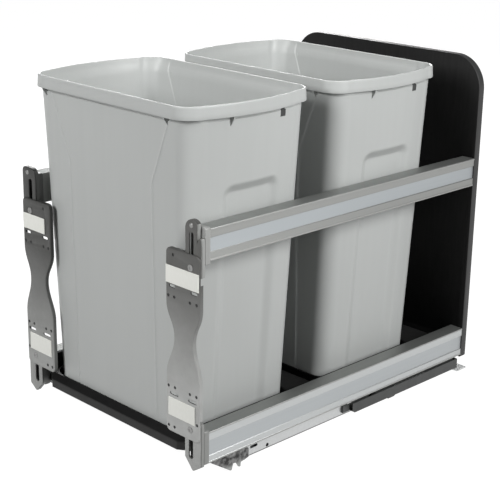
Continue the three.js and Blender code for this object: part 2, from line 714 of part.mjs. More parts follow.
function middleRailGeometry() {
  const sheet = MIDDLE_SHEET;
  const inner = SLIDE_X - MIDDLE_HALF;
  const outer = SLIDE_X + MIDDLE_HALF;
  const section = polygon([
    [inner, MIDDLE_LOW], [outer, MIDDLE_LOW], [outer, MIDDLE_HIGH], [outer - sheet, MIDDLE_HIGH],
    [outer - sheet, MIDDLE_LOW + sheet], [inner + sheet, MIDDLE_LOW + sheet],
    [inner + sheet, MIDDLE_HIGH], [inner, MIDDLE_HIGH],
  ]);
  return prismY(section, Y_SLIDE_FRONT + MIDDLE_SET.front, Y_SLIDE_REAR - MIDDLE_SET.rear);
}

// Web that runs in the ball cage, a flange under the side rail, and the soft-close striker.
function drawerRailGeometry() {
  const high = LOWER_RAIL.low - TOUCH;
  const section = polygon([
    [SLIDE_X - WEB_HALF, WEB_LOW], [SLIDE_X + WEB_HALF, WEB_LOW], [SLIDE_X + WEB_HALF, FLANGE.low],
    [FLANGE.outer, FLANGE.low], [FLANGE.outer, high], [FLANGE.inner, high], [FLANGE.inner, FLANGE.low],
    [SLIDE_X - WEB_HALF, FLANGE.low],
  ]);
  const { armIn, inner, outer, front, rear, low } = STRIKER;
  const rail = prismY(section, Y_SLIDE_FRONT, PANEL_FRONT - OVER);
  const arm = block(armIn, outer, front, rear, FLANGE.low, high);
  const striker = block(inner, outer, front, rear, low, FLANGE.low + OVER);
  return join(rail, arm, striker);
}

// Balls held by a folded strip; the strip passes under the moving member.
function cageGeometry(ball, strip) {
  const half = STRIP / 2;
  const front = CAGE_MIDDLE - CAGE_HALF;
  const rear = CAGE_MIDDLE + CAGE_HALF;
  const parts = [block(
    SLIDE_X - ball.off - half, SLIDE_X + ball.off + half, front, rear, strip.low, strip.low + strip.thick)];
  for (const sign of [-1, 1]) {
    const x = SLIDE_X + sign * ball.off;
    parts.push(block(x - half, x + half, front, rear, strip.low, strip.high));
    for (let i = 0; i < BALLS_PER_ROW; i += 1) {
      const y = CAGE_MIDDLE + (i - (BALLS_PER_ROW - 1) / 2) * BALL_PITCH;
      parts.push(new THREE.OctahedronGeometry(BALL_R, 1).translate(x, y, ball.z));
    }
  }
  return join(...parts);
}

// ---- floor brackets and cross brace --------------------------------------------------------

// Side plate with a sloping nose and two pointed feet, and a base that turns in under the slide.
function frontBracketGeometry() {
  const outer = SLIDE_X + SLIDE_HALF;
  const { inner, legIn, legOut, high, base, sole, plate } = FRONT_FOOT;
  const side = polygon([
    [-259, 24.4], [-222, 0], [-219.5, 0], [-217, 8.5], [-211.5, 8.5], [-206, 0], [-203.5, 0],
    [-203, base], [-189, 8.5], [-189, 21.6], [-198, 24.4],
  ]);
  return join(
    prismX(side, outer + TOUCH, outer + TOUCH + plate),
    block(inner, outer + OVER, ...FRONT_FOOT_Y.base, base, SLIDE_LOW - TOUCH),
    block(inner, legOut, ...FRONT_FOOT_Y.sole, 0, sole),
    block(legIn, legOut, ...FRONT_FOOT_Y.sole, 0, high),
  );
}

function rearBracketGeometry() {
  const outer = SLIDE_X + SLIDE_HALF;
  const { inner, sheet, sole, reach, below, gusset, rise } = REAR_FOOT;
  const near = Y_SLIDE_REAR + OVER;
  const upright = block(inner, outer, Y_SLIDE_REAR + TOUCH, Y_SLIDE_REAR + sheet, 0, SLIDE_HIGH - below);
  const foot = block(inner, outer + reach, near, Y_REAR, 0, sole);
  const web = prismX(polygon([[near, OVER], [Y_REAR - 3, OVER], [near, rise]]), ...gusset);
  const { x, y, radius } = REAR_FOOT_HOLE;
  const hole = new THREE.CylinderGeometry(radius, radius, 3 * sole, 12);
  hole.rotateX(Math.PI / 2).translate(x, y, sole / 2);
  return cut(join(upright, foot, web), hole);
}

function braceGeometry() {
  const reach = SLIDE_X - SLIDE_HALF - TOUCH;
  const { front, rear, low, high, sheet } = BRACE;
  const section = polygon([
    [front, low], [rear, low], [rear, high], [rear - sheet, high], [rear - sheet, low + sheet],
    [front + sheet, low + sheet], [front + sheet, high], [front, high],
  ]);
  return prismX(section, -reach, reach);
}

// ---- soft close ---------------------------------------------------------------------------

const CASE_MIDDLE = (CASE_IN + CASE_OUT) / 2;

// Trough with a sloping nose, one boss on its lower edge and a screw tongue in front.
function caseGeometry() {
  const { middle, half, slope, drop } = CASE_BOSS;
  const side = polygon([
    [CASE_FRONT, CASE_LOW + CASE_NOSE], [CASE_FRONT + CASE_NOSE, CASE_LOW],
    [middle - half, CASE_LOW], [middle - half + slope, CASE_LOW - drop],
    [middle + half - slope, CASE_LOW - drop], [middle + half, CASE_LOW],
    [CASE_REAR, CASE_LOW], [CASE_REAR, CASE_HIGH], [CASE_FRONT, CASE_HIGH],
  ]);
  const body = prismX(side, CASE_IN, CASE_OUT);
  const inside = block(
    CASE_IN + CASE_WALL, CASE_OUT - CASE_WALL, CASE_FRONT - OVER, CASE_REAR - 2 * CASE_WALL,
    CASE_LOW + CASE_FLOOR, CASE_HIGH + OVER);
  const tongue = block(
    CASE_IN, CASE_IN + TONGUE.thick, TONGUE.front, CASE_FRONT + 2 * OVER, TONGUE.low, TONGUE.high);
  return cut(join(body, tongue), inside);
}

function damperCylinderGeometry() {
  const { z, radius, front, rear, bore, boreRear } = DAMPER;
  return cut(
    barY(radius, CASE_MIDDLE, z, front, rear, 12),
    barY(bore, CASE_MIDDLE, z, front - OVER, boreRear, 10),
  );
}

function damperRodGeometry() {
  return barY(DAMPER_ROD.radius, CASE_MIDDLE, DAMPER.z, CATCH.rear + TOUCH, DAMPER_ROD.rear, 10);
}

function catchGeometry() {
  const half = (CASE_OUT - CASE_IN) / 2 - CASE_WALL - GAP;
  const { front, rear, low, nose, shelf, post, crown, high, ease } = CATCH;
  const shape = polygon([
    [front, low], [rear, low], [rear, crown], [rear - ease, high], [post, high], [post, shelf],
    [front, nose],
  ]);
  return prismX(shape, CASE_MIDDLE - half, CASE_MIDDLE + half);
}

// Coil outline beside the damper, kept as a ridged bar.
function springGeometry() {
  const { y, z, turns, pitch, thin, thick } = SPRING;
  const profile = [new THREE.Vector2(0, 0)];
  for (let i = 0; i < turns; i += 1) {
    profile.push(new THREE.Vector2(thin, i * pitch));
    profile.push(new THREE.Vector2(thick, (i + 0.5) * pitch));
  }
  profile.push(new THREE.Vector2(thin, turns * pitch));
  profile.push(new THREE.Vector2(0, turns * pitch));
  return new THREE.LatheGeometry(profile, 6).translate(CASE_MIDDLE, y, z);
}

// ---- assembly -----------------------------------------------------------------------------

const binMiddles = [BIN_FRONT_Y, BIN_FRONT_Y + BIN_PITCH];
place('front_bin', binGeometry(binMiddles[0]), binPlastic);
place('rear_bin', binGeometry(binMiddles[1]), binPlastic);
place('base_tray', trayGeometry(binMiddles), blackPlastic);
place('back_panel', panelGeometry(), blackBoard);
place('rear_cross_brace', braceGeometry(), zinc);

placePair('upper_side_rail', railGeometry(UPPER_RAIL, false), railAluminium);
placePair('lower_side_rail', railGeometry(LOWER_RAIL, true), railAluminium);
placePair('upper_rail_cap', capGeometry(UPPER_CAP, UPPER_RAIL), greyPaint);
placePair('lower_rail_cap', capGeometry(LOWER_CAP, LOWER_RAIL), greyPaint);

place('right_upper_slotted_bracket', upperPostGeometry(upperPostShape(), RIVET.right), greyPaint);
place('left_upper_slotted_bracket', mirrored(upperPostGeometry(tallPostShape(), RIVET.left)), greyPaint);
placePair('lower_slotted_bracket', lowerPostGeometry(), greyPaint);
place('right_bracket_rivet', rivetGeometry(RIVET.right), brightSteel);
place('left_bracket_rivet', mirrored(rivetGeometry(RIVET.left)), brightSteel);

placePair('door_plate', plateGeometry(), greyPaint);
place('right_upper_tape_pad', padGeometry(PADS.rightUpper), foamTape);
place('left_upper_tape_pad', mirrored(padGeometry(PADS.leftUpper)), foamTape);
placePair('lower_tape_pad', padGeometry(PADS.lower), foamTape);
placePair('upper_clamp_screw', clampGeometry(UPPER_CLAMP_Z), brightSteel);
placePair('lower_clamp_screw', clampGeometry(LOWER_CLAMP_Z), brightSteel);

placePair('upper_panel_screw', panelScrewGeometry(PANEL_SCREWS[0]), brightSteel);
placePair('lower_panel_screw', panelScrewGeometry(PANEL_SCREWS[1]), brightSteel);

placePair('cabinet_rail', cabinetRailGeometry(), zinc);
placePair('intermediate_rail', middleRailGeometry(), zinc);
placePair('drawer_rail', drawerRailGeometry(), zinc);
placePair('outer_ball_cage', cageGeometry(OUTER_BALL, OUTER_STRIP), brightSteel);
placePair('inner_ball_cage', cageGeometry(INNER_BALL, INNER_STRIP), brightSteel);

placePair('front_floor_bracket', frontBracketGeometry(), darkPlastic);
placePair('rear_floor_bracket', rearBracketGeometry(), zinc);
placePair('soft_close_housing', caseGeometry(), darkPlastic);
placePair('damper_cylinder', damperCylinderGeometry(), brightSteel);
placePair('damper_rod', damperRodGeometry(), brightSteel);
placePair('soft_close_catch', catchGeometry(), blackPlastic);
placePair('catch_spring', springGeometry(), brightSteel);

export default unit;
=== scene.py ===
# In-cabinet pull-out unit with two lift-out waste bins. Shapes are in millimetres until a piece
# is made; the frame, the lights and the materials' heights are in metres. Places that a CAD node
# fixes are read from that node in model.glb.

import math

import bmesh
import bpy
from mathutils import Matrix, Vector
from mathutils.geometry import tessellate_polygon


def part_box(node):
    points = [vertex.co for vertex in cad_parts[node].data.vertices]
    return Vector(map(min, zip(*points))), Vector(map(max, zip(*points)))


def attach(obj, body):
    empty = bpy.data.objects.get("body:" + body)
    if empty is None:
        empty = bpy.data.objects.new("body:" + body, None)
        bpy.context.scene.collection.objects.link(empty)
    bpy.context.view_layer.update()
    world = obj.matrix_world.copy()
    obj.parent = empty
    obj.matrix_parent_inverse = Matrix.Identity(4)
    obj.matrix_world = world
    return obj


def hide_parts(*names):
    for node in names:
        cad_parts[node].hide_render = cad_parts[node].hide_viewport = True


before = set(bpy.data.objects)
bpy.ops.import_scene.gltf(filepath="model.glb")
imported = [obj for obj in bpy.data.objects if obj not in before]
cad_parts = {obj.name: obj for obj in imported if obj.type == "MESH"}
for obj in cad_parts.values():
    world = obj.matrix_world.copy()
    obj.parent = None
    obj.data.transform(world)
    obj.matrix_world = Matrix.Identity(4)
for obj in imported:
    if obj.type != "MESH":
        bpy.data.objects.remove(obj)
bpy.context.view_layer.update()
MM = 0.001
X, Y, Z = range(3)
SIDES = (("right", False), ("left", True))
LEVELS = ("upper", "lower")


def span(node, axis):
    """Low and high end of a CAD node along an axis at rest, in millimetres."""
    return [round(corner[axis] / MM, 3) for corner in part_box(node)]


def middle_of(node, axis):
    return sum(span(node, axis)) / 2


# ---- camera, floor and lights -------------------------------------------------------------

CAMERA_AT = (1.2508, -1.2622, 0.7882)
CAMERA_AZIMUTH = 45.169
CAMERA_ELEVATION = 17.966
CAMERA_ROLL = 0.96
CAMERA_LENS = 91.97


def make_camera():
    azimuth = math.radians(CAMERA_AZIMUTH)
    elevation = math.radians(CAMERA_ELEVATION)
    roll = math.radians(CAMERA_ROLL)
    level = math.cos(elevation)
    back = Vector((math.sin(azimuth) * level, -math.cos(azimuth) * level, math.sin(elevation)))
    right = Vector((math.cos(azimuth), math.sin(azimuth), 0))
    up = back.cross(right)
    turned_right = right * math.cos(roll) + up * math.sin(roll)
    turned_up = up * math.cos(roll) - right * math.sin(roll)
    data = bpy.data.cameras.new("camera")
    data.lens = CAMERA_LENS
    data.sensor_width = 36
    data.clip_end = 60
    camera = bpy.data.objects.new("camera", data)
    bpy.context.scene.collection.objects.link(camera)
    camera.matrix_world = Matrix.Translation(CAMERA_AT) @ Matrix(
        (turned_right, turned_up, back)).transposed().to_4x4()
    bpy.context.scene.camera = camera


def area_light(name, at, toward, size, watts):
    data = bpy.data.lights.new(name, "AREA")
    data.shape = "RECTANGLE"
    data.size, data.size_y = size
    data.energy = watts
    light = bpy.data.objects.new(name, data)
    bpy.context.scene.collection.objects.link(light)
    light.location = at
    light.rotation_mode = "QUATERNION"
    light.rotation_quaternion = (Vector(toward) - Vector(at)).to_track_quat("-Z", "Y")
    return light


SKY_UP = 0.28
SKY_LEVEL = 0.09
SKY_DOWN = 0.06


def make_world():
    """Soft light that comes mostly from above."""
    world = bpy.data.worlds.new("studio")
    world.use_nodes = True
    tree = world.node_tree
    place = tree.nodes.new("ShaderNodeTexCoord")
    split = tree.nodes.new("ShaderNodeSeparateXYZ")
    tree.links.new(place.outputs["Generated"], split.inputs["Vector"])
    ramp = tree.nodes.new("ShaderNodeValToRGB")
    stops = ((0.0, SKY_DOWN), (0.47, SKY_DOWN), (0.53, SKY_LEVEL), (1.0, SKY_UP))
    while len(ramp.color_ramp.elements) < len(stops):
        ramp.color_ramp.elements.new(0.5)
    for element, (at, value) in zip(ramp.color_ramp.elements, stops):
        element.position = at
        element.color = (value, value, value, 1)
    half = tree.nodes.new("ShaderNodeMapRange")
    half.inputs["From Min"].default_value = -1
    tree.links.new(split.outputs["Z"], half.inputs["Value"])
    tree.links.new(half.outputs["Result"], ramp.inputs["Fac"])
    tree.links.new(ramp.outputs["Color"], tree.nodes["Background"].inputs["Color"])
    bpy.context.scene.world = world


def make_floor():
    """A pale floor with its own soft glow. It throws no diffuse light back onto the object."""
    mesh = bpy.data.meshes.new("floor")
    reach = 30
    corners = [(-reach, -reach, 0), (reach, -reach, 0), (reach, reach, 0), (-reach, reach, 0)]
    mesh.from_pydata(corners, [], [(0, 1, 2, 3)])
    floor = bpy.data.objects.new("floor", mesh)
    floor.location.z = -0.0005
    floor.visible_diffuse = False
    bpy.context.scene.collection.objects.link(floor)
    material = bpy.data.materials.new("pale_floor")
    material.use_nodes = True
    shader = material.node_tree.nodes["Principled BSDF"]
    shader.inputs["Base Color"].default_value = (0.15, 0.15, 0.15, 1)
    shader.inputs["Roughness"].default_value = 0.9
    shader.inputs["Specular IOR Level"].default_value = 0.1
    shader.inputs["Emission Color"].default_value = (1, 1, 1, 1)
    shader.inputs["Emission Strength"].default_value = 0.96
    floor.data.materials.append(material)


def make_studio():
    bpy.context.scene.view_settings.view_transform = "Standard"
    make_world()
    make_floor()
    # Key and fill stand nearly square to a side of the unit, so hardly any light enters the gap
    # between the bins, while the rounded corner between the two sides gets some of each.
    area_light("key", (1.7, 0.1, 1.2), (0, 0, 0.27), (0.5, 1.0), 32)
    area_light("fill", (-0.2, -2.35, 1.5), (0, 0, 0.25), (0.8, 1.2), 43)
    area_light("back", (-2.0, 1.7, 1.3), (0, 0, 0.25), (1.2, 1.2), 50)


# ---- materials ----------------------------------------------------------------------------

class Nodes:
    """A material's node tree with short ways to add to it."""

    def __init__(self, name):
        self.material = bpy.data.materials.new(name)
        self.material.use_nodes = True
        self.tree = self.material.node_tree
        self.shader = self.tree.nodes["Principled BSDF"]
        self.place = self.add("ShaderNodeTexCoord").outputs["Object"]

    def add(self, kind, **values):
        node = self.tree.nodes.new(kind)
        for key, value in values.items():
            setattr(node, key, value)
        return node

    def link(self, source, target):
        self.tree.links.new(source, target)

    def stretched(self, scale):
        mapping = self.add("ShaderNodeMapping")
        mapping.inputs["Scale"].default_value = scale
        self.link(self.place, mapping.inputs["Vector"])
        return mapping.outputs["Vector"]

    def noise(self, scale, detail, stretch=(1, 1, 1)):
        node = self.add("ShaderNodeTexNoise")
        node.inputs["Scale"].default_value = scale
        node.inputs["Detail"].default_value = detail
        node.inputs["Roughness"].default_value = 0.55
        self.link(self.stretched(stretch), node.inputs["Vector"])
        return node.outputs["Fac"]

    def voronoi(self, scale):
        node = self.add("ShaderNodeTexVoronoi")
        node.inputs["Scale"].default_value = scale
        self.link(self.place, node.inputs["Vector"])
        return node.outputs["Distance"]

    def ramp(self, value, low, high, dark, light):
        node = self.add("ShaderNodeMapRange", clamp=True)
        node.inputs["From Min"].default_value = low
        node.inputs["From Max"].default_value = high
        node.inputs["To Min"].default_value = dark
        node.inputs["To Max"].default_value = light
        self.link(value, node.inputs["Value"])
        return node.outputs["Result"]

    def mix(self, factor, first, second):
        node = self.add("ShaderNodeMix", data_type="RGBA")
        self.link(factor, node.inputs["Factor"])
        for value, socket in ((first, node.inputs["A"]), (second, node.inputs["B"])):
            if isinstance(value, tuple):
                socket.default_value = (*value, 1)
            else:
                self.link(value, socket)
        return node.outputs["Result"]

    def coordinate(self, axis):
        node = self.add("ShaderNodeSeparateXYZ")
        self.link(self.place, node.inputs["Vector"])
        return node.outputs[axis]

    def bump(self, height, distance, strength):
        node = self.add("ShaderNodeBump")
        node.inputs["Distance"].default_value = distance
        node.inputs["Strength"].default_value = strength
        self.link(height, node.inputs["Height"])
        previous = self.shader.inputs["Normal"].links
        if previous:
            self.link(previous[0].from_socket, node.inputs["Normal"])
        self.link(node.outputs["Normal"], self.shader.inputs["Normal"])

    def set(self, **values):
        for key, value in values.items():
            socket = self.shader.inputs[key.replace("_", " ")]
            socket.default_value = (*value, 1) if isinstance(value, tuple) else value

    def colour(self, source):
        self.link(source, self.shader.inputs["Base Color"])

    def roughness(self, source):
        self.link(source, self.shader.inputs["Roughness"])


def shade(colour, factor):
    return tuple(min(1.0, channel * factor) for channel in colour)


def moulded_plastic(name, colour, vary=0.05, specular=0.4):
    """Moulding with cloudy tone, fine specks and dull upright scuffs."""
    n = Nodes(name)
    cloud = n.noise(5, 4)
    speck = n.noise(900, 2)
    base = n.mix(cloud, shade(colour, 1 - vary), shade(colour, 1 + vary))
    n.colour(n.mix(n.ramp(speck, 0.35, 0.75, 0, 0.12), base, shade(colour, 0.8)))
    scuff = n.noise(60, 5, (1, 1, 0.15))
    n.roughness(n.ramp(scuff, 0.3, 0.7, 0.42, 0.55))
    n.bump(n.noise(1400, 2), 0.00004, 0.6)
    n.set(Specular_IOR_Level=specular)
    return n.material


def bin_plastic():
    """Light grey moulding: the walls are satin, with a faint mottle and fine upright drag lines."""
    n = Nodes("bin_plastic_grey")
    colour = (0.50, 0.515, 0.505)
    base = n.mix(n.noise(4, 4), shade(colour, 0.965), shade(colour, 1.035))
    drag = n.noise(90, 3, (1, 1, 0.02))
    drawn = n.mix(n.ramp(drag, 0.42, 0.72, 0, 0.22), base, shade(colour, 0.93))
    speck = n.noise(1100, 2)
    n.colour(n.mix(n.ramp(speck, 0.4, 0.8, 0, 0.18), drawn, shade(colour, 0.84)))
    n.roughness(n.ramp(n.noise(45, 5), 0.3, 0.7, 0.36, 0.46))
    n.bump(n.noise(1500, 2), 0.00004, 0.5)
    n.bump(drag, 0.00006, 0.25)
    n.set(Specular_IOR_Level=0.45)
    return n.material


def anodised(name, colour):
    """Extruded aluminium: die lines run along the rail."""
    n = Nodes(name)
    lines = n.noise(700, 4, (1, 0.006, 1))
    broad = n.noise(160, 3, (1, 0.01, 1))
    base = n.mix(lines, shade(colour, 0.94), shade(colour, 1.04))
    n.colour(n.mix(n.ramp(broad, 0.4, 0.7, 0, 0.3), base, shade(colour, 0.93)))
    n.roughness(n.ramp(lines, 0.3, 0.7, 0.44, 0.56))
    n.bump(lines, 0.00003, 0.4)
    n.bump(n.noise(2500, 2), 0.00001, 0.4)
    n.set(Metallic=0.85)
    return n.material


def powder_coat(name, upper, lower, z_upper, z_lower):
    """Grey powder coat with a fine orange peel; its tone changes between two heights in metres, as
    painted light and reflection.
    """
    n = Nodes(name)
    # painted light: the colour runs between the lower and the upper tone with height, standing in for
    # reflection and shade
    tone = n.mix(n.ramp(n.coordinate("Z"), z_lower, z_upper, 0, 1), lower, upper)
    n.colour(n.mix(n.ramp(n.noise(30, 4), 0.35, 0.7, 0, 0.18), tone, shade(upper, 0.8)))
    n.roughness(n.ramp(n.noise(220, 3), 0.3, 0.7, 0.38, 0.5))
    n.bump(n.noise(700, 3), 0.00006, 0.5)
    n.bump(n.voronoi(1500), 0.00002, 0.3)
    n.set(Metallic=0.3)
    return n.material


def plated(name, colour, rough):
    """Bright plating: faint spangle, fine rolling lines and slightly duller patches."""
    n = Nodes(name)
    spangle = n.voronoi(320)
    base = n.mix(n.ramp(spangle, 0, 0.7, 0, 0.5), colour, shade(colour, 0.86))
    n.colour(n.mix(n.ramp(n.noise(18, 4), 0.4, 0.7, 0, 0.35), base, shade(colour, 0.8)))
    lines = n.noise(900, 3, (1, 0.02, 1))
    n.roughness(n.ramp(lines, 0.3, 0.7, rough - 0.05, rough + 0.1))
    n.bump(lines, 0.00002, 0.3)
    n.set(Metallic=0.9)
    return n.material


SLIDE_SHADE_HIGH = 0.0092  # top of the painted shade along the slides' lower edge, in metres


def slide_zinc():
    """Zinc plated slide with a line of painted shade along its lower edge."""
    n = Nodes("slide_zinc")
    colour = (0.56, 0.57, 0.57)
    spangle = n.voronoi(320)
    base = n.mix(n.ramp(spangle, 0, 0.7, 0, 0.5), colour, shade(colour, 0.88))
    # painted shade: dark below a height, where the slide's lower lip lies in shade
    edge = n.ramp(n.coordinate("Z"), SLIDE_SHADE_HIGH, SLIDE_SHADE_HIGH + 0.0004, 1, 0)
    n.colour(n.mix(edge, base, (0.16, 0.16, 0.158)))
    lines = n.noise(900, 3, (1, 0.02, 1))
    n.roughness(n.ramp(lines, 0.3, 0.7, 0.3, 0.42))
    n.bump(lines, 0.00002, 0.3)
    n.set(Metallic=0.85)
    return n.material


def foot_steel():
    """Dark plated sheet, paler over its bottom few millimetres."""
    n = Nodes("dark_plate")
    patches = n.ramp(n.noise(150, 5), 0.38, 0.66, 0, 1)
    mottle = n.mix(patches, (0.018, 0.018, 0.018), (0.27, 0.27, 0.267))
    paler_foot = n.mix(n.noise(300, 3), (0.40, 0.41, 0.40), (0.26, 0.265, 0.26))
    n.colour(n.mix(n.ramp(n.coordinate("Z"), 0.004, 0.010, 1, 0), mottle, paler_foot))
    n.roughness(n.ramp(n.noise(90, 4), 0.3, 0.7, 0.35, 0.5))
    n.bump(n.noise(900, 3), 0.00004, 0.5)
    n.set(Metallic=0.5)
    return n.material


def tray_plastic():
    """Black moulding, two-toned by height as painted light: deep black along its top edge, a lighter
    grey below that.
    """
    n = Nodes("tray_plastic_black")
    black = n.mix(n.noise(40, 4), (0.003, 0.003, 0.003), (0.006, 0.006, 0.006))
    lit_grey_face = n.mix(n.noise(120, 5), (0.030, 0.030, 0.030), (0.044, 0.044, 0.043))
    # painted light: deep black above a height, a lighter grey below it
    n.colour(n.mix(n.ramp(n.coordinate("Z"), 0.0445, 0.0475, 1, 0), black, lit_grey_face))
    n.roughness(n.ramp(n.noise(60, 5), 0.3, 0.7, 0.42, 0.6))
    n.bump(n.noise(1200, 2), 0.00004, 0.5)
    n.set(Specular_IOR_Level=0.12)
    return n.material


def foam_tape():
    """Backing paper on foam tape: off-white, fibrous and quite dull."""
    n = Nodes("foam_tape_white")
    fibre = n.noise(500, 5, (1, 1, 0.3))
    n.colour(n.mix(n.ramp(fibre, 0.3, 0.8, 0, 0.6), (0.97, 0.975, 0.92), (0.90, 0.905, 0.85)))
    n.roughness(n.ramp(fibre, 0.3, 0.7, 0.75, 0.9))
    n.bump(fibre, 0.00008, 0.5)
    n.set(Specular_IOR_Level=0.25)
    return n.material


def black_board():
    """Black melamine face with a shallow pressed grain."""
    n = Nodes("panel_board_black")
    grain = n.noise(260, 5, (1, 1, 0.12))
    n.colour(n.mix(n.ramp(grain, 0.35, 0.7, 0, 0.7),
                   (0.0055, 0.0055, 0.0055), (0.011, 0.011, 0.0108)))
    n.roughness(n.ramp(n.noise(80, 4), 0.3, 0.7, 0.5, 0.62))
    n.bump(grain, 0.00006, 0.4)
    n.set(Specular_IOR_Level=0.25)
    return n.material


MATERIALS = {}


def make_materials():
    MATERIALS.update(
        bins=bin_plastic(),
        tray=tray_plastic(),
        catch=moulded_plastic("catch_plastic_black", (0.012, 0.012, 0.012), specular=0.35),
        # painted shade: a dark finish for slot bottoms and hole walls that lie in shade
        slot=moulded_plastic("painted_shade_dark", (0.07, 0.071, 0.07), vary=0.08, specular=0.1),
        housing=moulded_plastic("housing_plastic_grey", (0.055, 0.057, 0.056), vary=0.08),
        board=black_board(),
        board_edge=moulded_plastic("panel_edge_band", (0.03, 0.03, 0.03), vary=0.1),
        upper_band=anodised("upper_rail_band", (0.32, 0.325, 0.315)),
        upper_stripe=anodised("upper_rail_stripe", (0.41, 0.435, 0.45)),
        lower_band=anodised("lower_rail_band", (0.51, 0.525, 0.525)),
        lower_stripe=anodised("lower_rail_stripe", (0.43, 0.45, 0.46)),
        # painted shade: a darker copy of the rail aluminium for the rails' top faces, which lie in
        # shade under the bins
        rail_top=anodised("rail_top_painted_shade", (0.34, 0.35, 0.34)),
        rail_edge=anodised("rail_edge_lip", (0.36, 0.365, 0.355)),
        # painted reflection on the door plates: dark at the top, pale at the bottom; the left copy is
        # darker, as painted shade
        plate=powder_coat(
            "plate_powder_painted_reflection", (0.10, 0.10, 0.095), (0.44, 0.445, 0.435), 0.27, 0.12),
        plate_left=powder_coat(
            "plate_powder_left_painted_shade", (0.06, 0.06, 0.057), (0.34, 0.345, 0.335), 0.24, 0.09),
        # painted light on the slotted brackets: the upper ones dark, the lower ones pale; the left copy
        # is darker, as painted shade
        post=powder_coat(
            "post_powder_painted_light", (0.10, 0.10, 0.095), (0.38, 0.385, 0.375), 0.31, 0.07),
        post_left=powder_coat(
            "post_powder_left_painted_shade", (0.05, 0.05, 0.048), (0.3, 0.305, 0.295), 0.31, 0.07),
        # painted light on the rail caps: the upper caps paler than the lower ones; the left copy is
        # darker, as painted shade
        cap=powder_coat(
            "cap_powder_painted_light", (0.36, 0.365, 0.355), (0.27, 0.275, 0.265), 0.34, 0.05),
        cap_left=powder_coat(
            "cap_powder_left_painted_shade", (0.13, 0.13, 0.126), (0.2, 0.2, 0.195), 0.34, 0.05),
        foam=foam_tape(),
        zinc=plated("zinc_plate", (0.60, 0.61, 0.61), 0.32),
        bright=plated("bright_plate", (0.30, 0.30, 0.295), 0.4),
        slide=slide_zinc(),
        dark_steel=foot_steel(),
    )


# Each finish with the ends of the CAD node names that take it.
CAD_FINISH = {
    "tray": ("base_tray",),
    "slide": ("cabinet_rail",),
    "zinc": ("rear_cross_brace", "intermediate_rail", "drawer_rail", "rear_floor_bracket"),
    "bright": ("outer_ball_cage", "inner_ball_cage", "damper_cylinder", "damper_rod",
               "catch_spring", "bracket_rivet", "clamp_screw", "panel_screw"),
    "dark_steel": ("front_floor_bracket",),
    "housing": ("soft_close_housing",),
    "catch": ("soft_close_catch",),
    "plate": ("door_plate",),
    "post": ("slotted_bracket",),
    "cap": ("rail_cap",),
    "foam": ("tape_pad",),
    "upper_band": ("upper_side_rail",),
    "lower_band": ("lower_side_rail",),
    "board": ("back_panel",),
    "bins": ("front_bin", "rear_bin"),
}


def finish_cad_nodes():
    """Gives each CAD piece that stays shown its finish, and softens its edges."""
    for name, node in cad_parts.items():
        finish = next(key for key, ends in CAD_FINISH.items() if name.endswith(ends))
        node.data.materials.clear()
        node.data.materials.append(MATERIALS[finish])
        flat = node.modifiers.new("flat", "DECIMATE")
        flat.decimate_type = "DISSOLVE"
        flat.angle_limit = math.radians(0.5)
        edge = node.modifiers.new("edge", "BEVEL")
        edge.width = 0.0003
        edge.segments = 2
        edge.limit_method = "ANGLE"
        edge.angle_limit = math.radians(40)


# ---- mesh building ------------------------------------------------------------------------

SHARP = math.radians(32)
EDGE_STEPS = 3


def piece(name, vertices, faces, body, finish, stands_for=(), sharp=SHARP):
    """One shown piece from points in millimetres, smoothly shaded between its sharp edges."""
    mesh = bpy.data.meshes.new(name)
    mesh.from_pydata([tuple(c * MM for c in v) for v in vertices], [], faces)
    mesh.validate()
    repair = bmesh.new()
    repair.from_mesh(mesh)
    bmesh.ops.remove_doubles(repair, verts=repair.verts, dist=1e-6)
    bmesh.ops.recalc_face_normals(repair, faces=repair.faces)
    repair.to_mesh(mesh)
    repair.free()
    mesh.shade_smooth()
    mesh.set_sharp_from_angle(angle=sharp)
    obj = bpy.data.objects.new(name, mesh)
    bpy.context.scene.collection.objects.link(obj)
    mesh.materials.append(MATERIALS[finish])
    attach(obj, body)
    if stands_for:
        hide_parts(*stands_for)
    return obj


def arc(a, b, radius, start, end, steps=8):
    """Points of an arc; the angles are in degrees."""
    points = []
    for i in range(steps + 1):
        angle = math.radians(start + (end - start) * i / steps)
        points.append((a + radius * math.cos(angle), b + radius * math.sin(angle)))
    return points


def rounded(corners, steps):
    """A closed outline from (a, b, radius) corners, each turned into an arc."""
    outline = []
    count = len(corners)
    for i, (a, b, radius) in enumerate(corners):
        here = Vector((a, b))
        if radius <= 0:
            outline.append((a, b))
            continue
        before = Vector(corners[i - 1][:2]) - here
        after = Vector(corners[(i + 1) % count][:2]) - here
        half = before.angle(after) / 2
        reach = min(radius / math.tan(half), before.length * 0.49, after.length * 0.49)
        first = here + before.normalized() * reach
        last = here + after.normalized() * reach
        for step in range(steps + 1):
            t = step / steps
            point = first * (1 - t) ** 2 + here * 2 * t * (1 - t) + last * t ** 2
            outline.append((point.x, point.y))
    return outline


def stadium(a, b, half_long, half_wide, level=True):
    """A slot outline, running clockwise so that it reads as a hole."""
    reach = half_long - half_wide
    if level:
        return arc(a + reach, b, half_wide, 90, -90) + arc(a - reach, b, half_wide, 270, 90)
    return arc(a, b + reach, half_wide, 180, 0) + arc(a, b - reach, half_wide, 360, 180)


def ring(a, b, radius, steps=20):
    """A round hole's outline, running clockwise."""
    return arc(a, b, radius, 0, -360, steps)[:-1]


def thinned(loop):
    """The outline without points that fall on the next one."""
    return [p for i, p in enumerate(loop)
            if math.dist(p, loop[(i + 1) % len(loop)]) > 1e-4]


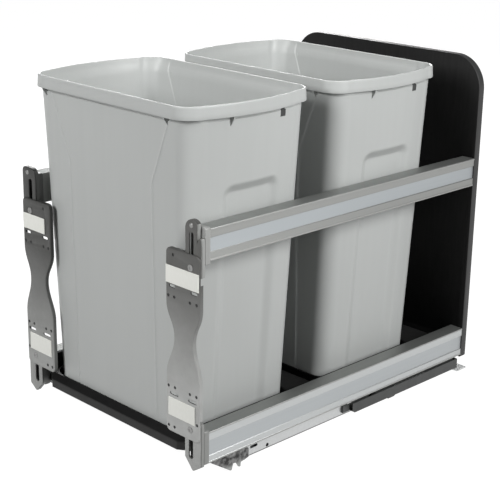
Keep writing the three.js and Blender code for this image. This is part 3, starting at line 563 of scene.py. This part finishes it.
def inset(loop, distance):
    """The outline moved towards the material: inwards for an outer outline, outwards for a hole."""
    moved = []
    count = len(loop)
    for i, (a, b) in enumerate(loop):
        before = Vector(loop[i - 1]) - Vector((a, b))
        after = Vector(loop[(i + 1) % count]) - Vector((a, b))
        along_in = -before.normalized()
        along_out = after.normalized()
        normal = Vector((-along_in.y - along_out.y, along_in.x + along_out.x))
        if normal.length < 1e-6:
            moved.append((a, b))
            continue
        normal.normalize()
        spread = max(0.35, normal.dot(Vector((-along_in.y, along_in.x))))
        moved.append((a + normal.x * distance / spread, b + normal.y * distance / spread))
    return moved


def to_y(a, b, depth):
    return (a, depth, b)


def to_x(a, b, depth):
    return (depth, a, b)


def edge_profile(low, high, front, back):
    """(inset, depth) steps over a sheet's edge, with its own round at the front and the back."""
    turns = [math.pi / 2 * i / EDGE_STEPS for i in range(EDGE_STEPS + 1)]
    profile = [(front * (1 - math.sin(a)), low + front * (1 - math.cos(a))) for a in turns]
    profile += [(back * (1 - math.cos(a)), high - back * (1 - math.sin(a))) for a in turns]
    return profile


def stamped(loops, low, high, edges, place):
    """Vertices and faces of a flat sheet: the first loop is its outline, the rest are holes."""
    vertices, faces, first_ring, last_ring = [], [], [], []
    for loop, (front, back) in zip(map(thinned, loops), edges):
        rings = []
        for gap, depth in edge_profile(low, high, front, back):
            start = len(vertices)
            vertices += [place(a, b, depth) for a, b in inset(loop, gap)]
            rings.append(range(start, len(vertices)))
        for lower, upper in zip(rings, rings[1:]):
            for i in range(len(loop)):
                j = (i + 1) % len(loop)
                faces.append((lower[i], lower[j], upper[j], upper[i]))
        first_ring.append(list(rings[0]))
        last_ring.append(list(rings[-1]))
    for rings, flip in ((first_ring, False), (last_ring, True)):
        flat = [[Vector((*_flat(vertices[i], place), 0)) for i in r] for r in rings]
        order = [i for r in rings for i in r]
        for a, b, c in tessellate_polygon(flat):
            face = (order[a], order[b], order[c])
            faces.append(face[::-1] if flip else face)
    return vertices, faces


def _flat(vertex, place):
    x, y, z = vertex
    return {to_y: (x, z), to_x: (y, z)}[place]


def merged(*shells):
    """Several (vertices, faces) shells as one."""
    vertices, faces = [], []
    for shell_vertices, shell_faces in shells:
        start = len(vertices)
        vertices += shell_vertices
        faces += [tuple(i + start for i in face) for face in shell_faces]
    return vertices, faces


def mirrored(shell):
    vertices, faces = shell
    return [(-x, y, z) for x, y, z in vertices], [face[::-1] for face in faces]


def turned(profile, middle, axis_y_from, steps=28):
    """A round piece along Y from (radius, y) steps; it starts and ends on its axis."""
    x0, z0 = middle
    vertices, faces, rings = [], [], []
    for radius, y in profile:
        start = len(vertices)
        if radius < 1e-6:
            vertices.append((x0, axis_y_from + y, z0))
            rings.append([start])
            continue
        for i in range(steps):
            angle = 2 * math.pi * i / steps
            x, z = x0 + radius * math.cos(angle), z0 + radius * math.sin(angle)
            vertices.append((x, axis_y_from + y, z))
        rings.append(list(range(start, start + steps)))
    for lower, upper in zip(rings, rings[1:]):
        for i in range(steps):
            j = (i + 1) % steps
            if len(lower) == 1:
                faces.append((lower[0], upper[j], upper[i]))
            elif len(upper) == 1:
                faces.append((lower[i], lower[j], upper[0]))
            else:
                faces.append((lower[i], lower[j], upper[j], upper[i]))
    return vertices, faces


def pair(name, shell, body, finish, **options):
    """The right piece and its mirror image. A body name may hold {side}, and the left piece
    takes a finish of its own where there is one, a darker copy with painted shade."""
    made = []
    for side, flip in SIDES:
        vertices, faces = mirrored(shell) if flip else shell
        own = f"{finish}_left" if flip and f"{finish}_left" in MATERIALS else finish
        made.append(piece(f"{side}_{name}_shell", vertices, faces, body.format(side=side), own,
                          (f"{side}_{name}",), **options))
    return made


# ---- bins ---------------------------------------------------------------------------------

BIN_SHARP = math.radians(50)
BIN_MIDDLES = {name: middle_of(name, Y) for name in ("front_bin", "rear_bin")}
BIN_BOTTOM, RIM_HIGH = span("front_bin", Z)
BIN_WALL = 2.4
RIM_LOW = 468.0
# Level sections: half length, bow of the end walls, half width, corner radius.
BIN_FOOT = (135.0, 5.0, 95.5, 24.0)
BIN_NECK = (155.4, 8.7, 103.5, 26.0)
BIN_RIM = (159.7, 12.0, 111.0, 31.0)
GRIP_HIGH = 380.0
GRIP_HALF = 49.5
GRIP_DEPTH = 6.0
GRIP_CORNER = 17.0
GRIP_BEVEL = 12.0


def between(first, second, t):
    return tuple(a + (b - a) * t for a, b in zip(first, second))


def smooth_step(t):
    t = max(0.0, min(1.0, t))
    return t * t * (3 - 2 * t)


def section_at(z):
    return between(BIN_FOOT, BIN_NECK, (z - BIN_BOTTOM) / (RIM_LOW - BIN_BOTTOM))


def grip_depth(y, z):
    """How far the end wall is pressed in: a tall panel with round upper corners and sloping edges."""
    a = max(abs(y) - (GRIP_HALF - GRIP_CORNER), 0)
    b = max(z - (GRIP_HIGH - GRIP_CORNER), 0)
    edge = GRIP_CORNER - math.hypot(a, b)
    along = min(max(edge / GRIP_BEVEL, 0.0), 1.0)
    return GRIP_DEPTH * (0.7 * along + 0.3 * smooth_step(along))


def crease_at(z):
    """Distance of the two upright ridges from the middle of a long wall; they spread near the rim."""
    return 83.0 + 0.4 * max(z - 378.0, 0.0)


CREASE_HIGH = 0.6
CREASE_HALF = 1.5
OUTER_LEAN = 0.03
INNER_LEAN = 0.10
INNER_STEP = 0.8
CREASE_OFFSETS = (-6, -3.2, -2, -1.3, -0.7, 0, 0.7, 1.3, 2, 3.2, 6)
END_STEPS = 44
MIDDLE_STEPS = 26
OUTER_STEPS = 7
CORNER_STEPS = 14


def side_columns(half, z, inner):
    """(x, height) across a long wall. The columns close up at each ridge and follow it, and
    beyond the ridges the wall leans in towards the corners; inside, each ridge is a small step."""
    at = min(crease_at(z), half - 8)
    fade = smooth_step((z - 52) / 20)

    def height(x):
        beyond = x - at
        if inner:
            step = INNER_STEP * smooth_step(beyond / 1.8 + 0.5)
            return -fade * (step + INNER_LEAN * max(beyond, 0.0))
        ridge = CREASE_HIGH * math.exp(-(beyond / CREASE_HALF) ** 2)
        return fade * (ridge - OUTER_LEAN * max(beyond, 0.0))

    last = at + CREASE_OFFSETS[-1]
    first = at + CREASE_OFFSETS[0]
    right = [half + (last - half) * i / OUTER_STEPS for i in range(OUTER_STEPS)]
    right += [at + d for d in reversed(CREASE_OFFSETS)]
    middle = [first * (1 - 2 * i / MIDDLE_STEPS) for i in range(1, MIDDLE_STEPS)]
    return [(x, height(abs(x))) for x in right + middle + [-x for x in reversed(right)]]


def bin_loop(section, z, gap, detail, inner=False):
    """One level outline of the bin, anticlockwise, moved inwards by gap."""
    hx, bow, hy, r = section
    half_end = hy - r
    half_side = hx - r
    end, corner = [], []
    for i in range(END_STEPS + 1):
        y = half_end * (2 * i / END_STEPS - 1)
        bulge = bow * (1 - (y / half_end) ** 2)
        end.append((hx + bulge - grip_depth(y, z) * detail - gap, y))
    radius = max(r - gap, 1.0)
    side = [(x, hy - gap + height * detail) for x, height in side_columns(half_side, z, inner)]
    lean = hy - gap - side[0][1]
    for i in range(1, CORNER_STEPS):
        angle = math.pi / 2 * i / CORNER_STEPS
        corner.append((half_side + radius * math.cos(angle),
                       half_end + radius * math.sin(angle) - lean * math.sin(angle) ** 2))
    half_loop = end + corner + side + [(-x, y) for x, y in reversed(corner)]
    return half_loop + [(-x, -y) for x, y in half_loop]


def lofted(rings, place_y):
    """Skin over level rings from the first to the last, with one face over each end."""
    count = len(rings[0][0])
    vertices = [(x, y + place_y, z) for loop, z in rings for x, y in loop]
    faces = []
    for k in range(len(rings) - 1):
        for i in range(count):
            j = (i + 1) % count
            a, b = k * count + i, k * count + j
            faces.append((a, b, b + count, a + count))
    faces.append(tuple(reversed(range(count))))
    last = (len(rings) - 1) * count
    faces.append(tuple(range(last, last + count)))
    return vertices, faces


def bin_shell(middle):
    """Up the outside, over the rim and down the inside."""
    rings = []

    def wall(z, gap, detail=1.0):
        rings.append((bin_loop(section_at(z), z, gap, detail), z))

    def rim(z, gap, t=1.0):
        rings.append((bin_loop(between(BIN_NECK, BIN_RIM, t), z, gap, 0), z))

    def inside(z, gap, t=0.0):
        section = between(BIN_NECK, BIN_RIM, t) if t else section_at(z)
        rings.append((bin_loop(section, z, gap, 1.0, inner=True), z))

    foot_round = 5.0
    for i in range(6):
        angle = math.pi / 2 * i / 5
        wall(BIN_BOTTOM + foot_round * (1 - math.cos(angle)), foot_round * (1 - math.sin(angle)))
    heights = [50 + 12 * i for i in range(25)]
    heights += [348 + 2 * i for i in range(19)]
    heights += [392, 410, 430, 448, 458]
    for z in heights:
        wall(z, 0)
    # A groove under the turned-down rim.
    wall(462.6, 0, 0.6)
    wall(463.2, 0.9, 0.2)
    wall(466.6, 1.0, 0)
    rim(467.0, 0.9, 0.4)
    rim(467.4, 0.2, 1.0)
    rim(467.9, 0.0)
    rim(474, 0.5)
    rim(479.0, 0.9)
    # A thin round bead along the top edge, from which the inside flares down into the wall.
    bead = 1.7
    for i in range(8):
        angle = math.pi * i / 7
        rim(RIM_HIGH - bead * (1 - math.sin(angle)), 1.0 + bead * (1 - math.cos(angle)))
    inside(478, 4.7, 1.0)
    inside(473.5, 4.2, 0.7)
    inside(468, 1.8)
    inside(462, 2.0)
    for z in reversed(heights[:-1]):
        inside(z, BIN_WALL)
    for i in range(6):
        angle = math.pi / 2 * i / 5
        inside(BIN_BOTTOM + 3 + 6 * (1 - math.sin(angle)), BIN_WALL + 6 * (1 - math.cos(angle)))
    return lofted(rings, middle)


WEB_LOW = 453.5
WEB_HIGH = 467.3
WEB_THICK = 1.5
END_WEBS = (-42.0,)
SIDE_WEBS = (115.0, -129.0)
TUCK_SLOT = {"y": 49.2, "half": 5.2, "low": 454.0, "high": 465.6, "floor": 158.9, "outside": 172.0}


def turned_about(point, middle):
    """The same place on the other side of a bin, which is alike when turned half round."""
    x, y, z = point
    return -x, 2 * middle - y, z


def bin_webs(middle):
    """Small upright webs that stiffen the turned-down rim, as one shell. Each reaches a little
    way into the wall and stops short of the rim's face."""
    shells = []
    for at in END_WEBS:
        hx, bow, hy, r = section_at(WEB_LOW)
        wall = hx + bow * (1 - (at / (hy - r)) ** 2) - 0.6
        rim = BIN_RIM[0] + BIN_RIM[1] * (1 - (at / (BIN_RIM[2] - BIN_RIM[3])) ** 2) - 1.2
        outline = rounded([(wall, WEB_LOW, 0.4), (rim, WEB_HIGH - 3, 0.6), (rim, WEB_HIGH, 0.3),
                           (wall, WEB_HIGH, 0.3)], 3)
        y = middle + at
        shells.append(stamped([outline], y - WEB_THICK / 2, y + WEB_THICK / 2, [(0.3, 0.3)], to_y))
    for at in SIDE_WEBS:
        wall, rim = section_at(WEB_LOW)[2] - 2.2, BIN_RIM[2] - 1.2
        outline = rounded([(middle - wall, WEB_LOW, 0.4), (middle - wall, WEB_HIGH, 0.3),
                           (middle - rim, WEB_HIGH, 0.3), (middle - rim, WEB_HIGH - 2, 0.6)], 3)
        shells.append(stamped([outline], at - WEB_THICK / 2, at + WEB_THICK / 2, [(0.3, 0.3)], to_x))
    vertices, faces = merged(*shells)
    opposite = [turned_about(vertex, middle) for vertex in vertices]
    return merged((vertices, faces), (opposite, faces))


def cut_tuck_slots(shell, middle):
    """Sinks a shallow slot for a liner's slack into each end wall, just under the rim."""
    slot = TUCK_SLOT
    cutter_mesh = bpy.data.meshes.new("slot_cutter")
    build = bmesh.new()
    for sign in (1, -1):
        corners = []
        for x in (slot["floor"], slot["outside"]):
            for y in (slot["y"] - slot["half"], slot["y"] + slot["half"]):
                for z in (slot["low"], slot["high"]):
                    corners.append((sign * x * MM, (middle + sign * y) * MM, z * MM))
        bmesh.ops.convex_hull(build, input=[build.verts.new(corner) for corner in corners])
    build.to_mesh(cutter_mesh)
    build.free()
    cutter = bpy.data.objects.new("slot_cutter", cutter_mesh)
    bpy.context.scene.collection.objects.link(cutter)
    cut = shell.modifiers.new("slots", "BOOLEAN")
    cut.operation = "DIFFERENCE"
    cut.solver = "EXACT"
    cut.object = cutter
    bpy.context.view_layer.update()
    evaluated = shell.evaluated_get(bpy.context.evaluated_depsgraph_get())
    carved = bpy.data.meshes.new_from_object(evaluated)
    shell.modifiers.remove(cut)
    shell.data = carved
    bpy.data.objects.remove(cutter)
    # The bottom of each slot takes a dark finish: painted shade.
    carved.materials.append(MATERIALS["slot"])
    for face in carved.polygons:
        x, z = face.center.x / MM, face.center.z / MM
        if abs(abs(x) - slot["floor"]) < 0.02 and slot["low"] < z < slot["high"]:
            face.material_index = 1
    carved.shade_smooth()
    carved.set_sharp_from_angle(angle=BIN_SHARP)


def make_bins():
    for name, middle in BIN_MIDDLES.items():
        vertices, faces = bin_shell(middle)
        shell = piece(f"{name}_shell", vertices, faces, name, "bins", (name,), sharp=BIN_SHARP)
        cut_tuck_slots(shell, middle)
        vertices, faces = bin_webs(middle)
        piece(f"{name}_rim_webs", vertices, faces, name, "bins")


# ---- side rails and their caps ------------------------------------------------------------

RAIL_IN, X_OUT = span("right_upper_side_rail", X)
RAIL_FRONT = span("right_upper_side_rail", Y)[0]
RAIL_WALL = 2.0
PANEL_FRONT, PANEL_REAR = span("back_panel", Y)
LIP = 2.2
BAND_DEPTH = 0.5
STRIPE_DEPTH = 1.5
# The lower rail has a ledge for the tray, and its outer face hangs a little below its box.
RAILS = {
    "upper": {"hang": 0.0, "stripe": (311.4, 329.4), "ledge": False},
    "lower": {"hang": 3.5, "stripe": (39.5, 60.5), "ledge": True},
}
for level, rail_sizes in RAILS.items():
    rail_sizes["foot"], rail_sizes["high"] = span(f"right_{level}_side_rail", Z)
    rail_sizes["low"] = rail_sizes["foot"] + rail_sizes["hang"]
COVER = 3.5  # thickness of the lower rail's hanging lip
LEDGE_REACH = 14.5
LEDGE_THICK = 2.2
PLUG_GAP = {"in": 2.6, "out": 4.2, "end": 2.6}


def rail_outline(rail):
    """Section across a rail; the lower one has a ledge for the tray and a hanging lip."""
    foot, low, high = rail["foot"], rail["low"], rail["high"]
    stripe_low, stripe_high = rail["stripe"]
    band, stripe = X_OUT - BAND_DEPTH, X_OUT - STRIPE_DEPTH
    corners = [
        (X_OUT, foot, 0.9), (X_OUT, foot + LIP, 0.3), (band, foot + LIP + 0.5, 0.3),
        (band, stripe_low - 0.5, 0.3), (stripe, stripe_low + 0.4, 0.3),
        (stripe, stripe_high - 0.4, 0.3), (band, stripe_high + 0.5, 0.3),
        (band, high - LIP - 0.5, 0.3), (X_OUT, high - LIP, 0.3), (X_OUT, high, 0.9),
        (RAIL_IN, high, 0.7),
    ]
    if rail["ledge"]:
        reach = RAIL_IN - LEDGE_REACH
        corners += [(RAIL_IN, low + LEDGE_THICK, 0.3), (reach, low + LEDGE_THICK, 0.5),
                    (reach, low, 0.5), (X_OUT - COVER, low, 0.3), (X_OUT - COVER, foot, 0.5)]
    else:
        corners += [(RAIL_IN, low, 0.7)]
    return rounded(corners, 4)


def rail_hollow(rail):
    inner, outer = RAIL_IN + RAIL_WALL, X_OUT - STRIPE_DEPTH - RAIL_WALL
    low, high = rail["low"] + RAIL_WALL, rail["high"] - RAIL_WALL
    return rounded([(inner, low, 0.8), (inner, high, 0.8), (outer, high, 0.8), (outer, low, 0.8)], 4)


def make_rails():
    for which, rail in RAILS.items():
        shell = stamped([rail_outline(rail), rail_hollow(rail)], RAIL_FRONT, PANEL_FRONT - 0.05,
                        [(0.25, 0.25)] * 2, to_y)
        for obj in pair(f"{which}_side_rail", shell, "drawer", f"{which}_band"):
            mesh = obj.data
            mesh.materials.append(MATERIALS[f"{which}_stripe"])
            mesh.materials.append(MATERIALS["rail_top"])
            mesh.materials.append(MATERIALS["rail_edge"])
            for face in mesh.polygons:
                z = face.center.z / MM
                x = abs(face.center.x) / MM
                if x > X_OUT - STRIPE_DEPTH - 0.3 and rail["stripe"][0] < z < rail["stripe"][1]:
                    face.material_index = 1
                elif face.normal.z > 0.8 and z > rail["high"] - 1:
                    face.material_index = 2
                elif x > X_OUT - 0.7 and (z < rail["foot"] + LIP or z > rail["high"] - LIP):
                    face.material_index = 3


CAP_FRONT = span("right_upper_rail_cap", Y)[0]
CAP_IN = span("right_upper_rail_cap", X)[0]
CAPS = {level: span(f"right_{level}_rail_cap", Z) for level in LEVELS}


def make_caps():
    for which, (low, high) in CAPS.items():
        rail = RAILS[which]
        outline = rounded([(CAP_IN, low, 2), (X_OUT, low, 1.2), (X_OUT, high, 3), (CAP_IN, high, 3)], 6)
        face = stamped([outline], CAP_FRONT, RAIL_FRONT - 0.05, [(0.8, 0.3)], to_y)
        x0, x1 = RAIL_IN + PLUG_GAP["in"], X_OUT - PLUG_GAP["out"]
        z0, z1 = rail["low"] + PLUG_GAP["end"], rail["high"] - PLUG_GAP["end"]
        plug = stamped([rounded([(x0, z0, 1), (x1, z0, 1), (x1, z1, 1), (x0, z1, 1)], 4)],
                       RAIL_FRONT - 1, RAIL_FRONT + 12, [(0.2, 0.8)], to_y)
        pair(f"{which}_rail_cap", merged(face, plug), "drawer", "cap")


# ---- slotted brackets ---------------------------------------------------------------------

POST_IN = span("right_upper_slotted_bracket", X)[0]
POST_FRONT, POST_REAR = span("right_upper_slotted_bracket", Y)
POST_FOOT = span("right_upper_slotted_bracket", Z)[0]
POST_TOP = 351.5
POST_SKIN = 2.0
SLOT_X = 165.0
SLOT_HALF = 4.0
DOME = 12.5


def ribbon(points, thick, low, high, closed=False):
    """A turned edge: a strip of sheet that stands along an outline, on its material side."""
    inner = inset(points, thick)
    vertices, faces = [], []
    for (a, b), (c, d) in zip(points, inner):
        vertices += [(a, low, b), (a, high - 0.3, b), (a + (c - a) * 0.25, high, b + (d - b) * 0.25),
                     (c + (a - c) * 0.25, high, d + (b - d) * 0.25), (c, high - 0.3, d), (c, low, d)]
    ring_size = 6
    spans = len(points) if closed else len(points) - 1
    for i in range(spans):
        a = i * ring_size
        b = ((i + 1) % len(points)) * ring_size
        for k in range(ring_size):
            m = (k + 1) % ring_size
            faces.append((a + k, b + k, b + m, a + m))
    if not closed:
        faces.append(tuple(range(ring_size)))
        last = (len(points) - 1) * ring_size
        faces.append(tuple(last + k for k in reversed(range(ring_size))))
    return vertices, faces


def upper_post_outline():
    shoulder = 339.0
    outline = rounded([(POST_IN, POST_FOOT, 1.5), (X_OUT, POST_FOOT, 1.5), (X_OUT, shoulder, 4)], 5)
    # The sloping shoulder meets the round top.
    outline += arc(POST_IN + DOME, POST_TOP - DOME, DOME, 42, 180, 18)
    return thinned(outline)


def tall_post_outline():
    """The left upper bracket keeps its full width up to the top."""
    return thinned(rounded([(POST_IN, POST_FOOT, 1.5), (X_OUT, POST_FOOT, 1.5),
                            (X_OUT, POST_TOP, 7), (POST_IN, POST_TOP, DOME)], 10))


def lower_post_outline():
    """The foot comes to a blunt point."""
    tip, high = span("right_lower_slotted_bracket", Z)
    return rounded([(POST_IN, 34.5, 2), (168.5, tip, 3), (X_OUT, 27.5, 2), (X_OUT, high, 1.5),
                    (POST_IN, high, 1.5)], 6)


def post_shell(outline, slot_low, slot_high):
    middle, half = (slot_low + slot_high) / 2, (slot_high - slot_low) / 2
    slot = stadium(SLOT_X, middle, half, SLOT_HALF, level=False)
    face = stamped([outline, slot], POST_FRONT, POST_FRONT + POST_SKIN,
                   [(0.7, 0.05), (0.1, 0.1)], to_y)
    wall = ribbon(outline, POST_SKIN, POST_FRONT + 1.2, POST_REAR, closed=True)
    return merged(face, wall)


RIVETS = {side: abs(middle_of(f"{side}_bracket_rivet", X)) for side, _ in SIDES}
RIVET_Z = middle_of("right_bracket_rivet", Z)


def make_posts():
    upper_slot, lower_slot = (284.0, 336.0), (34.0, 83.0)
    shells = {
        "right_upper": post_shell(upper_post_outline(), *upper_slot),
        "left_upper": mirrored(post_shell(tall_post_outline(), *upper_slot)),
        "right_lower": post_shell(lower_post_outline(), *lower_slot),
        "left_lower": mirrored(post_shell(lower_post_outline(), *lower_slot)),
    }
    for which, (vertices, faces) in shells.items():
        node = f"{which}_slotted_bracket"
        left = which.startswith("left")
        finish = "post_left" if left else "post"
        obj = piece(f"{node}_shell", vertices, faces, "drawer", finish, (node,))
        # The turned-back side takes a paler finish than the face, as painted light on that side of the
        # same sheet.
        obj.data.materials.append(MATERIALS["cap_left" if left else "cap"])
        for face in obj.data.polygons:
            if abs(face.normal.x) > 0.7 and face.center.y / MM > POST_FRONT + 0.8:
                face.material_index = 1


def make_rivets():
    head_radius, head_high = 3.3, 1.3
    turns = [math.radians(angle) for angle in range(15, 91, 15)]
    head = [(head_radius * math.sin(a), head_high * (1 - math.cos(a))) for a in turns]
    profile = [(0, 0), *head, (1.8, 1.35), (1.8, 6.8), (0, 6.8)]
    for side, flip in SIDES:
        shell = turned(profile, (RIVETS[side], RIVET_Z), POST_FRONT - 1.4, 24)
        vertices, faces = mirrored(shell) if flip else shell
        node = f"{side}_bracket_rivet"
        piece(f"{node}_shell", vertices, faces, "drawer", "bright", (node,))


# ---- door brackets ------------------------------------------------------------------------

Y_FRONT = span("right_upper_tape_pad", Y)[0]
PLATE_IN = span("right_door_plate", X)[0]
PLATE_FRONT, PLATE_REAR = span("right_door_plate", Y)
PLATE_LOW, PLATE_HIGH = span("right_door_plate", Z)
PLATE_THICK = 1.6
CLAMP_X = middle_of("right_upper_clamp_screw", X)
CLAMP_HOLE = 2.8
CLAMPS = {level: middle_of(f"right_{level}_clamp_screw", Z) for level in LEVELS}
NUT_HALF = (4.9, 4.6)
PLATE_SLOTS = [(132, 259, 6), (172, 259, 6), (135.5, 115, 8), (170, 115, 8)]
FLANGE_LOW, FLANGE_HIGH = 91, 275.5
HOLE_RADIUS = 2.1
SLOT_RADIUS = 2.0
PLATE_HOLES = [
    (124.8, 124), (137, 124), (165, 124), (177, 124),
    (124.8, 245.5), (136, 245.5), (165, 245.5), (177, 245.5),
    (125, 69), (136, 69), (178.5, 86), (134, 300),
]


def bezier(start, first, second, end):
    """Points along a smooth curve, without its start."""
    steps = 16
    points = []
    for i in range(1, steps + 1):
        t = i / steps
        weights = ((1 - t) ** 3, 3 * t * (1 - t) ** 2, 3 * t * t * (1 - t), t ** 3)
        points.append(tuple(sum(w * p[k] for w, p in zip(weights, (start, first, second, end)))
                            for k in range(2)))
    return points


def plate_outline():
    radius = 7.0
    high, waist, low, pull = 238.0, 192.0, 140.0, 20.0
    waist_in, waist_out = 135.0, 170.0
    outline = arc(X_OUT - radius, PLATE_LOW + radius, radius, -90, 0)
    outline.append((X_OUT, low))
    middle_in, middle_out = (waist_in, waist), (waist_out, waist)
    outline += bezier((X_OUT, low), (X_OUT, low + pull), (waist_out, waist - pull), middle_out)
    outline += bezier(middle_out, (waist_out, waist + pull), (X_OUT, high - pull), (X_OUT, high))
    outline += arc(X_OUT - radius, PLATE_HIGH - radius, radius, 0, 90)
    outline += arc(PLATE_IN + radius, PLATE_HIGH - radius, radius, 90, 180)
    outline.append((PLATE_IN, high))
    outline += bezier((PLATE_IN, high), (PLATE_IN, high - pull), (waist_in, waist + pull), middle_in)
    outline += bezier(middle_in, (waist_in, waist - pull), (PLATE_IN, low + pull), (PLATE_IN, low))
    outline += arc(PLATE_IN + radius, PLATE_LOW + radius, radius, 180, 270)
    return thinned(outline)


def has_flange(x, z):
    """The turned edge stops where the slotted brackets sit behind the plate."""
    return x < POST_IN - 2 or FLANGE_LOW < z < FLANGE_HIGH


def flange_runs(outline):
    """The stretches of the outline that have a turned edge, as close rows of points."""
    dense = []
    for i, point in enumerate(outline):
        following = outline[(i + 1) % len(outline)]
        steps = max(1, int(math.dist(point, following) / 4))
        dense += [between(point, following, k / steps) for k in range(steps)]
    start = next(i for i, p in enumerate(dense) if not has_flange(*p))
    runs, run = [], []
    for point in dense[start:] + dense[:start]:
        if has_flange(*point):
            run.append(point)
        elif run:
            runs.append(run)
            run = []
    return [points for points in runs if len(points) > 2]


def make_plates():
    outline = plate_outline()
    holes = [stadium(x, z, half, SLOT_RADIUS) for x, z, half in PLATE_SLOTS]
    holes += [ring(x, z, HOLE_RADIUS, 16) for x, z in PLATE_HOLES]
    holes += [ring(CLAMP_X, z, CLAMP_HOLE) for z in CLAMPS.values()]
    edges = [(1.5, 0.05)] + [(0.08, 0.08)] * len(holes)
    sheet = stamped([outline, *holes], PLATE_FRONT, PLATE_FRONT + PLATE_THICK, edges, to_y)
    flanges = [ribbon(points, PLATE_THICK, PLATE_FRONT + 1.45, PLATE_REAR)
               for points in flange_runs(outline)]
    shade_discs = [stamped([ring(x, z, HOLE_RADIUS - 0.02, 16)], PLATE_FRONT + 0.9, PLATE_FRONT + 1.5,
                      [(0.1, 0.1)], to_y) for x, z in PLATE_HOLES]
    for obj in pair("door_plate", merged(sheet, *flanges, *shade_discs), "{side}_door_bracket", "plate"):
        # The round holes are blind, closed by dark discs of painted shade, and the punched edges inside
        # the slots are painted the same shade.
        obj.data.materials.append(MATERIALS["slot"])
        for face in obj.data.polygons:
            x, z = abs(face.center.x) / MM, face.center.z / MM
            in_hole = any(math.dist((x, z), hole) < HOLE_RADIUS for hole in PLATE_HOLES)
            in_slot = any(math.hypot(max(abs(x - at) - half, 0), z - high) < SLOT_RADIUS + 0.05
                          for at, high, half in PLATE_SLOTS)
            if in_hole or (in_slot and abs(face.normal.y) < 0.5):
                face.material_index = 1


def make_clamp_screws():
    profile = [(0, 0.5), (1.9, 0.5), (1.9, 0.1), (2.4, 0), (3.7, 0.02), (4.3, 0.2), (4.5, 0.45),
               (4.5, 0.75), (2.4, 0.75), (2.4, 8.2), (0, 8.2)]
    nut_front = POST_FRONT + POST_SKIN + 0.05
    x0, x1 = CLAMP_X - NUT_HALF[0], CLAMP_X + NUT_HALF[0]
    for which, z in CLAMPS.items():
        z0, z1 = z - NUT_HALF[1], z + NUT_HALF[1]
        nut = stamped([rounded([(x0, z0, 1), (x1, z0, 1), (x1, z1, 1), (x0, z1, 1)], 4)],
                      nut_front, nut_front + 3, [(0.3, 0.3)], to_y)
        screw = turned(profile, (CLAMP_X, z), Y_FRONT, 24)
        pair(f"{which}_clamp_screw", merged(screw, nut), "{side}_door_bracket", "bright")


def make_pads():
    for level in LEVELS:
        for side, _ in SIDES:
            name = f"{side}_{level}_tape_pad"
            (x0, x1), (z0, z1) = span(name, X), span(name, Z)
            outline = rounded([(x0, z0, 0.6), (x1, z0, 0.6), (x1, z1, 0.6), (x0, z1, 0.6)], 4)
            vertices, faces = stamped([outline], Y_FRONT, PLATE_FRONT - 0.05, [(0.2, 0.1)], to_y)
            piece(f"{name}_sheet", vertices, faces, f"{side}_door_bracket", "foam", (name,))


# ---- back panel ---------------------------------------------------------------------------

PANEL_LOW, PANEL_HIGH = span("back_panel", Z)
PANEL_CORNER = 48.0
PANEL_SCREWS = {level: tuple(middle_of(f"right_{level}_panel_screw", axis) for axis in (X, Z))
                for level in LEVELS}
PANEL_HOLE = 2.6


def make_panel():
    soft, corner = 3.0, PANEL_CORNER
    outline = arc(X_OUT - soft, PANEL_LOW + soft, soft, -90, 0, 6)
    outline += arc(X_OUT - corner, PANEL_HIGH - corner, corner, 0, 90, 30)
    outline += arc(corner - X_OUT, PANEL_HIGH - corner, corner, 90, 180, 30)
    outline += arc(soft - X_OUT, PANEL_LOW + soft, soft, 180, 270, 6)
    holes = [ring(sign * x, z, PANEL_HOLE) for x, z in PANEL_SCREWS.values() for sign in (1, -1)]
    vertices, faces = stamped([outline, *holes], PANEL_FRONT, PANEL_REAR,
                              [(0.9, 0.9)] + [(0.2, 0.2)] * len(holes), to_y)
    board = piece("back_panel_board", vertices, faces, "drawer", "board", ("back_panel",))
    board.data.materials.append(MATERIALS["board_edge"])
    for face in board.data.polygons:
        if abs(face.normal.y) < 0.9:
            face.material_index = 1


def make_panel_screws():
    tip = PANEL_FRONT - PANEL_REAR - 12
    profile = [(0, tip), (1.4, tip + 0.2), (2.2, tip + 2), (2.2, 0.3), (5, 0.05), (5, 0.9),
               (4.6, 1.8), (3.6, 2.5), (2.3, 2.75), (1.7, 2.75), (1.2, 1.3), (0, 1.1)]
    for which, middle in PANEL_SCREWS.items():
        pair(f"{which}_panel_screw", turned(profile, middle, PANEL_REAR), "drawer", "bright")


# ---- everything ---------------------------------------------------------------------------

make_camera()
make_studio()
make_materials()
finish_cad_nodes()
make_bins()
make_rails()
make_caps()
make_posts()
make_rivets()
make_plates()
make_clamp_screws()
make_pads()
make_panel()
make_panel_screws()
